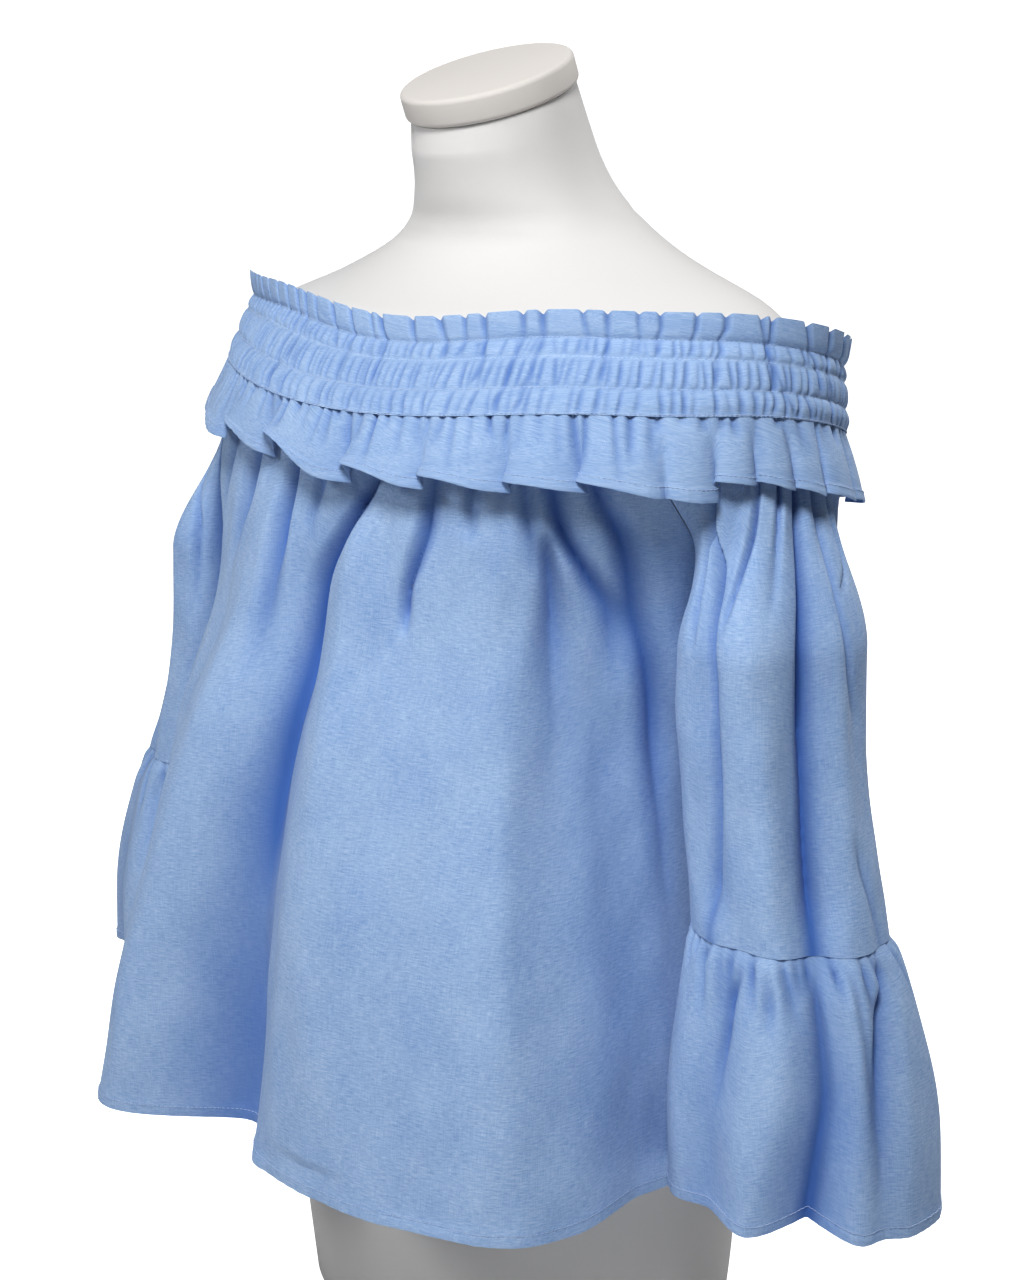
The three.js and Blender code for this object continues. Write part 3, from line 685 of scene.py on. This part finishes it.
def ring_direction(run):
    """Direction in degrees from the upright axis of a place along the band's foot."""
    angle = band_angle(run)
    x, y = BAND_FOOT[1] * np.cos(angle), BAND_FOOT[3] + BAND_FOOT[2] * np.sin(angle)
    return np.degrees(np.arctan2(y, x)) + 360 * np.rint((angle - np.arctan2(y, x)) / (2 * np.pi))


run_places = np.linspace(-BAND_LENGTH, BAND_LENGTH, 4001)
run_directions = ring_direction(run_places)


def run_at(direction):
    return np.interp(direction, run_directions, run_places)


def short_gathers_under(seed, count, length, top, reach, deep, width):
    """Small gathers that start at a seam and end at uneven heights below it."""
    draw = np.random.default_rng(seed)
    gathers = []
    for k in range(count):
        at = (k + 0.5 + draw.uniform(-0.35, 0.35)) * length / count
        fall = reach * draw.uniform(0.25, 1.0) ** 1.6
        lean = draw.normal(0, 0.05) * fall
        d = deep * draw.uniform(0.4, 1.1)
        w = width * draw.uniform(0.75, 1.35)
        gathers.append([
            (top + 2, at, w * 0.8, d), (top - fall * 0.3, at + lean * 0.3, w, d * 0.9),
            (top - fall * 0.7, at + lean * 0.8, w * 1.3, d * 0.4), (top - fall, at + lean, w * 1.6, 0),
        ])
    return gathers


flounce_gathers = short_gathers_under(5, 124, BAND_LENGTH, BELOW_BAND, 42, 3.3, 3.8)


def hem_form(down_to_edge, run):
    """Outward step of a turned hem, with the small puckers of its stitching."""
    turned = ease((HEM_HEIGHT - down_to_edge) / 0.9)
    pucker = 0.16 * np.sin(run * 2 * np.pi / 6.1 + 1.3 * np.sin(run / 23)) * turned
    rounded = 0.4 * ease((0.8 - down_to_edge) / 0.8)
    return HEM_STEP * turned + pucker - rounded


def flounce_surface(u, v):
    run = u * BAND_LENGTH
    fall = (1 - v) * (BELOW_BAND - FLOUNCE_HEM)
    down = 1 - v
    grown = down ** 0.8
    shift, out, lift, painted_fold_shade = [np.zeros(run.shape) for _ in range(4)]
    for direction, overlap, into, raised, reach in flounce_folds:
        d = run - run_at(direction)
        d -= BAND_LENGTH * np.rint(d / BAND_LENGTH)
        turned = np.clip(d / reach, -1, 1) * np.pi
        near = np.exp(1.6 * (np.cos(turned) - 1)) - math.exp(-3.2)
        shift -= overlap * np.sin(turned) * near * down ** 1.5
        out -= into * near * grown - 0.24 * overlap * np.sin(turned) * near * down ** 1.3
        lift += 1.5 * raised * ease((d + 4) / 8) * (1 - ease(d / 62)) * down ** 2
        # Painted shade where the ruffles fold in and under each other.
        painted_fold_shade += near * grown * np.clip(into / 9, 0, 1) * (0.5 - 0.35 * np.sin(turned))
    gathers = crease_depth(flounce_gathers, run, BELOW_BAND - fall, 0.5, BAND_LENGTH)
    angle = band_angle(run + shift)
    front = np.maximum(0, -np.sin(angle)) ** 2
    flare = along((0, 0.25, 0.6, 1), (3.2, 7.5, 12, 15.5), down) + 2.0 * front * down
    swell = 2.2 * np.sin(run / 37 + 2 * np.sin(run / 61)) * down
    out = out + flare + swell - gathers + hem_form(v * (BELOW_BAND - FLOUNCE_HEM), run)
    x = (BAND_FOOT[1] + out) * np.cos(angle)
    y = BAND_FOOT[3] + (BAND_FOOT[2] + out) * np.sin(angle)
    z = BELOW_BAND - fall + lift - 7 * down * np.cos(angle)
    # The fourth value is painted shade in the ruffles and in the gathers below the band.
    return *worn(x, y, z), painted_fold_shade * 0.75 + gathers / 5


neck_flounce = shaped_grid("neck_flounce_cloth", FLOUNCE_ACROSS, FLOUNCE_ROWS, flounce_surface, closed=True)
finish_cloth(neck_flounce, CLOTH)
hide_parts("neck_flounce")
flounce_thread = sew(
    "neck_flounce_hem_stitches", flounce_surface, STITCH_ABOVE_HEM / (BELOW_BAND - FLOUNCE_HEM), 2.8,
)

# Front and back of the body: wide panels of chambray gathered into the neckband, which fall
# free from the bust in long soft folds to a narrow turned hem.
UNDERARM = 480
BODY_HEM = 162
RAGLAN_ANGLE = 36
UNDERARM_DEGREES = -7
SLEEVE_GAP = 0.2
# Columns: height, then how far from the upright axis to the left, back left, back, back right,
# right, front right, front and front left
body_rings = np.array([
    (162, 188, 212, 214, 217, 182, 256, 224, 260), (240, 180, 190, 192, 202, 182, 246, 218, 246),
    (320, 172, 165, 168, 182, 186, 228, 210, 224), (410, 170, 146, 144, 162, 182, 208, 190, 192),
    (480, 188, 162, 142, 162, 190, 186, 164, 176), (560, 195, 166, 142, 166, 197, 184, 160, 174),
])
# Each fold: points of (height, direction in degrees, half width in degrees, depth)
soft_folds = [
    [(606, -70, 6, 0), (564, -78, 8, 4), (507, -90, 12, 7), (437, -92, 15, 13), (352, -95, 16, 21),
     (270, -98, 16, 31), (218, -99, 16, 35), (150, -101, 16, 36)],
    [(560, -106, 13, 0), (480, -108, 14, -6), (350, -112, 14, -13), (240, -115, 14, -18),
     (150, -117, 14, -20)],
    [(560, -78, 9, 0), (500, -79, 10, -6), (400, -77, 11, -6), (290, -75, 11, -4), (180, -74, 11, -2)],
    [(600, -47, 12, 0), (500, -46, 14, -5), (350, -44, 14, -8), (230, -43, 14, -10), (150, -42, 14, -10)],
    [(560, -29, 10, 0), (480, -28, 11, 6), (340, -26, 11, 8), (150, -24, 11, 9)],
    [(480, -160, 18, 0), (400, -160, 18, 6), (150, -160, 18, 13)],
    [(606, 97, 11, 0), (520, 95, 13, 10), (340, 92, 14, 13), (150, 90, 14, 14)],
    [(540, 48, 12, 0), (450, 47, 13, 8), (150, 44, 13, 10)],
    [(540, 138, 12, 0), (450, 140, 13, 7), (150, 142, 13, 9)],
    [(520, 70, 12, 0), (430, 69, 12, -5), (150, 68, 12, -9)],
    [(520, 116, 12, 0), (430, 117, 12, -6), (150, 118, 12, -8)],
    [(540, -67, 6, 0), (477, -67, 6, 2.5), (392, -65, 7, 2), (330, -65, 7, 0)],
    [(400, -56, 6, 0), (352, -57, 7, 2.2), (299, -58, 8, 3), (234, -58, 8, 2.5), (165, -58, 8, 1)],
    [(545, -37, 3, 0), (530, -37, 4, 4), (505, -36, 5, 6), (460, -36, 7, 7), (395, -37, 8, 7),
     (343, -38, 8, 6), (291, -38, 8, 4), (237, -38, 8, 2), (185, -39, 8, 0)],
    [(500, -122, 6, 0), (430, -124, 6, 3), (350, -126, 7, 2), (280, -127, 7, 0)],
    [(360, -84, 5, 0), (300, -85, 5, 2), (220, -86, 5, 3), (165, -86, 5, 2)],
    [(330, -50, 4, 0), (260, -51, 5, 1.5), (165, -52, 5, 2)],
    [(606, -150, 6, 0), (560, -152, 7, 5), (480, -154, 8, 4), (400, -155, 8, 0)],
]
crisp_creases = [
    [(606, -70, 3, 2), (575, -74, 3.5, 4), (546, -81, 4, 6), (507, -90, 5, 7), (477, -92, 5, 8),
     (437, -92.5, 6, 7), (394, -94, 7, 6), (352, -95.5, 8, 4), (300, -97, 8, 0)],
    [(606, -116, 3, 2), (563, -118, 4.5, 5), (545, -119, 5, 5), (520, -121, 5, 3), (495, -123, 4, 0)],
    [(606, -100, 3, 2), (557, -102, 4, 5), (533, -103, 4.5, 6.5), (504, -103, 5, 5),
     (474, -103, 5, 3), (440, -102, 5, 0)],
    [(606, -58, 3, 2), (557, -60, 4, 5), (540, -61, 4, 6), (523, -63, 3.5, 6), (506, -65, 2.6, 5.5),
     (492, -65.3, 2.6, 4.5), (478, -65, 3, 0)],
    [(606, -42, 3, 2), (555, -41, 3.5, 4), (530, -40, 4, 2), (515, -40, 4, 0)],
    [(606, -38, 3, 2), (559, -36, 3.5, 6), (539, -34, 3.5, 6.5), (518, -30, 4, 6), (498, -26, 5, 5),
     (480, -25, 5, 3), (450, -24, 5, 0)],
    [(545, -37.5, 2, 0), (535, -37.3, 2.4, 3), (510, -36.5, 3, 4), (470, -36, 4, 2), (430, -36, 4, 0)],
    [(606, -33, 3, 2), (563, -29, 3.5, 5), (539, -25, 4.5, 6), (492, -21, 5, 6), (444, -17, 6, 6),
     (397, -16, 7, 4), (326, -15, 7, 2), (240, -14, 7, 0)],
    [(606, -130, 3, 2), (560, -132, 4, 5), (520, -135, 4, 4), (480, -137, 4, 0)],
    [(606, -88, 3, 1), (565, -91, 3, 3), (540, -93, 3, 2), (520, -94, 3, 0)],
    [(606, -51, 3, 1), (560, -51, 3, 3), (535, -51, 3, 0)],
    [(606, 66, 3, 2), (560, 64, 4, 5), (500, 62, 5, 4), (430, 60, 5, 0)],
    [(606, 122, 3, 2), (560, 124, 4, 5), (500, 126, 5, 3), (460, 127, 5, 0)],
    [(606, 84, 3, 2), (560, 83, 4, 5), (510, 81, 4, 4), (470, 80, 4, 0)],
    [(606, 108, 3, 2), (550, 107, 4, 5), (480, 106, 5, 5), (390, 104, 5, 0)],
    [(606, 52, 3, 2), (570, 51, 4, 4), (530, 50, 4, 0)],
    [(606, 138, 3, 2), (570, 139, 4, 4), (520, 140, 4, 0)],
]
body_gathers = short_gathers_under(23, 118, 360, BELOW_BAND, 78, 2.6, 1.7)


def seam_distance(angle):
    """How far the panels' gathered top edge is from the upright axis."""
    across = np.cos(angle) / BAND_FOOT[1]
    deep = np.sin(angle) / BAND_FOOT[2]
    back = BAND_FOOT[3] / BAND_FOOT[2]
    square = across ** 2 + deep ** 2
    half = deep * back
    return (half + np.sqrt(half ** 2 - square * (back ** 2 - 1))) / square + SOLID_CLOTH


def body_distance(angle, z):
    place = np.mod(angle / (2 * np.pi) * 8, 8)
    first = np.floor(place).astype(int) % 8
    t = place - np.floor(place)
    ways = np.stack([along(body_rings[:, 0], body_rings[:, k + 1], z) for k in range(8)])
    a, b, c, d = [
        np.take_along_axis(ways, ((first + step) % 8)[None], axis=0)[0] for step in (-1, 0, 1, 2)
    ]
    curve = 2 * b + (c - a) * t + (2 * a - 5 * b + 4 * c - d) * t ** 2 + (3 * b - a - 3 * c + d) * t ** 3
    below = ease((BELOW_BAND - z) / (BELOW_BAND - UNDERARM))
    return seam_distance(angle) * (1 - below) + curve / 2 * below


def seam_direction(z, side, front):
    """Direction of a raglan seam at a height, and of the side seam below the underarm."""
    start = math.radians(-RAGLAN_ANGLE if front else RAGLAN_ANGLE)
    first = math.atan2(BAND_FOOT[3] + BAND_FOOT[2] * math.sin(start), BAND_FOOT[1] * math.cos(start))
    down = ease((BELOW_BAND - z) / (BELOW_BAND - UNDERARM))
    left = first + (math.radians(UNDERARM_DEGREES) - first) * down
    if side > 0:
        return left
    return -math.pi - left if front else math.pi - left


def panel_surface(front):
    def surface(u, v):
        z = BODY_HEM + (BELOW_BAND - BODY_HEM) * v
        first = seam_direction(z, -1 if front else 1, front)
        last = seam_direction(z, 1 if front else -1, front)
        first = first + SLEEVE_GAP / 2 / body_distance(first, z)
        last = last - SLEEVE_GAP / 2 / body_distance(last, z)
        angle = first + (last - first) * u
        direction = np.degrees(angle)
        edge = np.minimum(u, 1 - u)
        free = ease(edge / 0.06)
        soft = 1.1 * crease_depth(soft_folds, direction, z, 0.05)
        crisp = 1.55 * crease_depth(crisp_creases, direction, z, 0.7)
        small = 1.3 * crease_depth(body_gathers, direction + 180, z, 0.6)
        rumple = 0.7 * np.sin(direction / 3.1 + z / 37) * np.sin(z / 41 + direction / 9)
        rumple = rumple + 0.45 * np.sin(direction / 1.3 - z / 23) * np.sin(z / 17 + direction / 5)
        depth = (soft + crisp + small) * free + rumple * free * ease((590 - z) / 60)
        distance = body_distance(angle, z) - depth
        distance = distance + hem_form(z - BODY_HEM, angle * distance)
        distance = distance - 0.5 * ease((0.006 - edge) / 0.006)
        x, y = distance * np.cos(angle), distance * np.sin(angle)
        # Painted shade: deeper blue in the soft folds, crisp creases and gathers.
        painted_fold_shade = np.maximum(soft, 0) / 52 + crisp / 10 + small / 7
        return *worn(x, y, z), painted_fold_shade * free
    return surface


for place, surface, columns, rows, flat, area in (
    ("front", panel_surface(True), 300, 150, (0.78, 0.45), 0.30),
    ("back", panel_surface(False), 220, 110, (0.73, 0.42), 0.26),
):
    panel = shaped_grid(place + "_cloth", columns, rows, surface)
    finish_cloth(panel, CLOTH)
    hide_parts(place + "_panel")
    panel_thread = sew(place + "_hem_stitches", surface, STITCH_ABOVE_HEM / (BELOW_BAND - BODY_HEM), 2.8)

# Sleeves: raglan sleeves of chambray, gathered into the neckband between the front and the
# back, with an underarm seam. They hang empty in long upright folds to the gathered cuffs.
CUFF_SEAM = 327
# Columns: height, middle x, middle y, half width, half depth
sleeve_rings = np.array([
    (327, 262, -37, 57, 51), (400, 245, -32, 52, 52), (440, 239, -30, 50, 55), (480, 237, -28, 48, 58),
    (560, 236, -27, 47, 60),
])
left_soft = [
    [(600, -16, 18, 0), (552, -15, 24, 5), (500, -18, 28, 9), (440, -22, 29, 11),
     (378, -30, 30, 11), (320, -36, 30, 11)],
    [(600, -98, 20, 0), (540, -96, 24, 5), (440, -94, 26, 6), (320, -100, 26, 6)],
    [(600, 12, 16, 0), (540, 14, 18, 3), (440, 20, 20, 3), (380, 20, 20, 0)],
    [(600, 75, 24, 0), (540, 75, 28, 6), (320, 75, 28, 7)],
    [(560, 140, 24, 0), (500, 140, 26, 5), (320, 140, 26, 5)],
    [(560, -62, 16, 0), (500, -60, 20, -3), (400, -58, 20, -3), (327, -60, 20, -2)],
    [(420, -70, 12, 0), (380, -72, 12, 2), (330, -76, 12, 2)],
]
left_crisp = [
    [(606, -13, 6, 2), (552, -14, 8, 6), (517, -16, 9, 8), (483, -20, 10, 8), (461, -20, 11, 7),
     (419, -23, 12, 6), (377, -30, 13, 6), (327, -38, 13, 6)],
    [(606, -121, 6, 3), (553, -121, 8, 5), (527, -102, 8, 5), (502, -92, 8, 5), (461, -84, 9, 4),
     (406, -90, 9, 4), (349, -104, 9, 4), (327, -106, 9, 4)],
    [(606, -126, 5, 2), (547, -125, 6, 4), (511, -115, 6, 4), (480, -106, 6, 0)],
    [(606, -66, 6, 2), (560, -68, 7, 4), (544, -70, 7, 5), (526, -75, 7, 4.5),
     (509, -78, 7, 3), (492, -81, 7, 0)],
    [(606, 16, 5, 2), (545, 16, 7, 5), (524, 14, 7, 5), (505, 11, 7, 4), (468, 14, 8, 3), (439, 24, 8, 0)],
    [(606, 38, 5, 2), (550, 38, 6, 4), (527, 36, 6, 4), (510, 13, 6, 0)],
    [(606, -38, 6, 2), (565, -40, 7, 4), (530, -44, 8, 2), (505, -46, 8, 0)],
    [(606, 66, 6, 3), (550, 66, 8, 5), (480, 66, 9, 5), (400, 70, 10, 4), (330, 72, 10, 4)],
    [(606, 98, 6, 3), (550, 100, 8, 5), (480, 104, 9, 3), (430, 108, 9, 0)],
    [(606, 130, 6, 3), (550, 132, 8, 5), (480, 136, 9, 3), (400, 140, 10, 3), (330, 142, 10, 3)],
    [(390, 2, 7, 0), (363, 8, 8, 3), (336, 14, 8, 3), (326, 16, 8, 3)],
]
right_soft = [
    [(598, -46, 30, 0), (580, -46, 34, -5), (556, -46, 34, -11), (525, -46, 32, -7), (480, -46, 30, 0)],
    [(600, -50, 20, 0), (540, -52, 26, 6), (320, -52, 28, 8)],
    [(600, -8, 16, 0), (540, -8, 18, 4), (400, -8, 20, 3), (330, -8, 20, 0)],
    [(600, 48, 24, 0), (540, 48, 28, 7), (320, 48, 30, 8)],
    [(580, 112, 24, 0), (520, 112, 26, 6), (320, 112, 26, 6)],
    [(560, -125, 22, 0), (500, -125, 24, 5), (320, -125, 24, 5)],
]
right_crisp = [
    [(606, -54, 6, 3), (550, -54, 8, 5), (480, -56, 9, 5), (400, -58, 10, 5), (330, -60, 10, 5)],
    [(606, -86, 6, 3), (526, -86, 7, 5), (501, -103, 8, 4), (474, -106, 8, 3), (432, -100, 8, 0)],
    [(606, -20, 6, 3), (550, -18, 8, 4), (490, -14, 8, 2), (450, -12, 8, 0)],
    [(606, 20, 6, 3), (550, 22, 8, 5), (480, 26, 9, 4), (410, 30, 9, 0)],
    [(606, 46, 6, 3), (550, 46, 8, 5), (480, 48, 9, 5), (330, 50, 10, 5)],
    [(606, 78, 6, 3), (550, 80, 8, 4), (500, 82, 8, 0)],
    [(606, 108, 6, 3), (550, 110, 8, 5), (480, 112, 9, 5), (330, 112, 10, 4)],
    [(606, -124, 6, 3), (550, -124, 8, 5), (470, -124, 9, 3), (410, -122, 9, 0)],
]
sleeve_gathers = short_gathers_under(37, 58, 360, BELOW_BAND, 62, 2.8, 3.4)


# Folds that run through the seam between sleeve and cuff: direction, half width, depth
left_seam_folds = [(-37, 24, 9), (-84, 20, 3.5), (14, 16, 2.5), (72, 18, 3), (142, 18, 3)]
right_seam_folds = [(-58, 24, 6), (0, 16, 2), (48, 24, 5), (112, 20, 4), (-126, 18, 3)]


def seam_depth(folds, direction):
    """Depth of the folds on the seam itself, which sleeve and cuff share."""
    depth = np.zeros(direction.shape)
    for middle, width, deep in folds:
        away = np.mod(direction - middle + 180, 360) - 180
        depth += deep * hump(away / width)
    return depth


def sleeve_surface(side, soft_table, crisp_table, seam_folds):
    def surface(u, v):
        z = CUFF_SEAM + SEAM_GAP + (BELOW_BAND - CUFF_SEAM - SEAM_GAP) * v
        t = u if side > 0 else 1 - u
        closing = ease(np.clip((BELOW_BAND - z) / (BELOW_BAND - UNDERARM), 0, 1) ** 1.5)
        middle_x, middle_y, half_width, half_depth = [
            along(sleeve_rings[:, 0], sleeve_rings[:, k], np.minimum(z, 500)) for k in (1, 2, 3, 4)
        ]

        def section(t):
            arc = np.radians(-RAGLAN_ANGLE + 2 * RAGLAN_ANGLE * t)
            arc_x = (BAND_FOOT[1] + SOLID_CLOTH) * np.cos(arc)
            arc_y = BAND_FOOT[3] + (BAND_FOOT[2] + SOLID_CLOTH) * np.sin(arc)
            way = np.radians(-180 + 360 * t)
            x = arc_x + (middle_x + half_width * np.cos(way) - arc_x) * closing
            y = arc_y + (middle_y + half_depth * np.sin(way) - arc_y) * closing
            return x, y, way

        x, y, way = section(t)
        direction = np.degrees(way)
        free = ease(np.minimum(t, 1 - t) / 0.09)
        soft = crease_depth(soft_table, direction, z, 0.05)
        crisp = 1.3 * crease_depth(crisp_table, direction, z, 0.6)
        small = 1.2 * crease_depth(sleeve_gathers, direction + 180, z, 0.6)
        rumple = 0.5 * np.sin(direction / 11 + z / 31) * np.sin(z / 37 + direction / 33)
        rumple = rumple + 0.4 * np.sin(direction / 5 - z / 19) * np.sin(z / 15 + direction / 21)
        depth = (soft + crisp + small + rumple * ease((590 - z) / 60)) * free
        sewn = 1 - ease((z - CUFF_SEAM) / 34)
        depth = depth + (seam_depth(seam_folds, direction) - depth) * sewn
        depth = depth + 0.4 * ease((0.008 - np.minimum(t, 1 - t)) / 0.008) * (z > UNDERARM)
        x, y = x - depth * np.cos(way), y - depth * np.sin(way)
        held = ease((z - (UNDERARM - 50)) / 50)
        for t_end, pull in ((0.0, (1 - t) ** 5), (1.0, t ** 5)):
            seam = seam_direction(z, side, t_end == 0)
            apart = (side if t_end == 0 else -side) * (SLEEVE_GAP / 2) * (1 - 2 * closing)
            seam = seam + apart / body_distance(seam, z)
            distance = body_distance(seam, z) + 1.5 * SEAM_GAP * closing
            end_x, end_y, _ = section(np.full_like(t, t_end))
            x = x + (side * distance * np.cos(seam) - end_x) * pull * held
            y = y + (distance * np.sin(seam) - end_y) * pull * held
        # Painted shade: deeper blue in the sleeve's folds, creases and gathers.
        painted_fold_shade = (np.maximum(soft, 0) / 34 + crisp / 10 + small / 7) * free
        return *worn(side * x, y, z), painted_fold_shade
    return surface


left_sleeve_surface = sleeve_surface(1, left_soft, left_crisp, left_seam_folds)
right_sleeve_surface = sleeve_surface(-1, right_soft, right_crisp, right_seam_folds)
for name, node, surface in (
    ("sleeve_left_cloth", "sleeve_left", left_sleeve_surface),
    ("sleeve_right_cloth", "sleeve_right", right_sleeve_surface),
):
    sleeve = shaped_grid(name, 200, 100, surface, closed=True)
    finish_cloth(sleeve, CLOTH)
    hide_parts(node)

# Cuff flounces: deep strips of chambray gathered onto the sleeves, which flare in wide waves
# to a narrow turned hem. The gathers fade within a third of the strip's depth.
CUFF_HEM = 180
# Columns: height, middle x, middle y, half width, half depth, growth of the waves
cuff_rings = np.array([
    (180, 277, -35, 77, 73, 1.0), (236, 274, -35, 76, 72, 0.8), (306, 266, -36, 63, 57, 0.25),
    (327, 262, -37, 57, 51, 0),
])
# Each wave's valley: points of (height, direction, half width, depth)
left_valleys = [
    [(327, -36, 16, 6), (307, -41, 20, 8), (281, -40, 24, 11), (255, -41, 26, 14),
     (223, -46, 27, 16), (175, -53, 28, 17)],
    [(327, -83, 12, 2), (300, -89, 18, 4), (240, -97, 24, 7), (175, -102, 26, 8)],
    [(327, 13, 14, 2), (304, -1, 14, 6), (279, -9, 15, 8), (243, -15, 15, 7),
     (198, -18, 15, 4), (175, -18, 15, 3)],
    [(327, 42, 18, 0), (236, 42, 24, 6), (175, 42, 26, 8)],
    [(327, 100, 20, 1), (236, 100, 28, 8), (175, 100, 30, 10)],
    [(327, 160, 18, 1), (236, 160, 24, 5), (175, 160, 26, 7)],
]
right_valleys = [
    [(327, -60, 18, 2), (236, -60, 26, 8), (175, -60, 28, 10)],
    [(327, 0, 16, 2), (236, 0, 24, 6), (175, 0, 26, 8)],
    [(327, 60, 20, 2), (236, 60, 28, 9), (175, 60, 30, 12)],
    [(327, 125, 18, 1), (236, 125, 26, 7), (175, 125, 28, 9)],
    [(327, -130, 16, 1), (236, -130, 24, 6), (175, -130, 26, 8)],
    [(330, -92, 6, 3), (307, -92, 8, 5), (280, -95, 9, 5), (245, -98, 10, 0)],
]
left_cuff_crisp = [
    [(327, -83, 6, 5), (321, -83, 6, 5), (301, -89, 6, 5), (279, -92, 6, 4.5),
     (256, -95, 6, 2), (240, -97, 6, 0)],
    [(327, 13, 5, 4), (304, -2, 6, 4), (279, -10, 7, 4), (243, -16, 7, 3), (198, -18, 7, 0)],
    [(327, -67, 5, 4), (306, -66, 6, 4), (286, -66, 6, 0)],
    [(327, -20, 5, 3), (306, -19, 5, 2.5), (280, -19, 5, 2.5), (253, -19, 5, 1.5), (225, -21, 5, 0)],
    [(327, -38, 6, 5), (300, -41, 7, 4), (260, -41, 8, 3), (223, -46, 8, 3), (175, -53, 8, 4)],
]
CUFF_GATHER_PLACES = (
    -171, -163, -150, -141, -128, -119, -112, -105, -97, -90, -75, -58, -50, -44, -28, -9, -2,
    6, 24, 33, 45, 53, 62, 74, 81, 93, 104, 112, 125, 133, 146, 157, 166, 176,
)


def cuff_gathers(seed):
    draw = np.random.default_rng(seed)
    gathers = []
    for place in CUFF_GATHER_PLACES:
        fall = draw.uniform(10, 46)
        deep = draw.uniform(3.0, 5.4)
        lean = draw.normal(0, 3)
        wide = draw.uniform(3.6, 5.6)
        gathers.append([
            (CUFF_SEAM + 2, place, wide, deep),
            (CUFF_SEAM - fall * 0.4, place + lean * 0.5, wide * 1.1, deep * 0.8),
            (CUFF_SEAM - fall, place + lean, wide * 1.4, 0),
        ])
    return gathers


def cuff_surface(side, valleys, crisp_table, seam_folds, seed):
    small_table = cuff_gathers(seed)

    def surface(u, v):
        z = CUFF_HEM + (CUFF_SEAM - CUFF_HEM) * v
        angle = 2 * np.pi * (u + 0.5)
        way = angle if side > 0 else np.pi - angle
        direction = np.degrees(way)
        middle_x, middle_y, half_width, half_depth, grown = [
            along(cuff_rings[:, 0], cuff_rings[:, k], z) for k in (1, 2, 3, 4, 5)
        ]
        waves = crease_depth(valleys, direction, z, 0.15)
        crisp = crease_depth(crisp_table, direction, z, 0.5)
        small = crease_depth(small_table, direction, z, 0.5)
        small = small * (0.3 + 0.7 * ease((CUFF_SEAM - z) / 9))
        sewn = 1 - ease((CUFF_SEAM - z) / 26)
        crisp = crisp * (1 - sewn)
        waves = waves + (seam_depth(seam_folds, direction) - waves) * sewn
        puff = 2.2 * ease((CUFF_SEAM - z) / 7) - 0.3
        rumple = 0.5 * np.sin(direction / 9 + z / 21) * np.sin(z / 27 + direction / 27) * ease((320 - z) / 40)
        out = puff + rumple - waves - crisp - small
        out = out + hem_form(z - CUFF_HEM, way * half_width)
        low = ease((CUFF_SEAM - z) / 120)
        lift = low ** 2 * (0.55 * waves - 3)
        x = middle_x + (half_width + out) * np.cos(way)
        y = middle_y + (half_depth + out) * np.sin(way)
        # Painted shade: deeper blue in the wave valleys, creases and gathers of the cuff.
        painted_fold_shade = np.maximum(waves, 0) / 24 + crisp / 8 + small / 7
        return side * x, y, z + lift, painted_fold_shade
    return surface


for name, node, surface in (
    ("cuff_flounce_left_cloth", "cuff_flounce_left", cuff_surface(
        1, left_valleys, left_cuff_crisp, left_seam_folds, 3)),
    ("cuff_flounce_right_cloth", "cuff_flounce_right", cuff_surface(
        -1, right_valleys, [], right_seam_folds, 8)),
):
    cuff = shaped_grid(name, 252, 60, surface, closed=True)
    finish_cloth(cuff, CLOTH)
    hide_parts(node)
    cuff_thread = sew(node + "_hem_stitches", surface, STITCH_ABOVE_HEM / (CUFF_SEAM - CUFF_HEM), 2.8)
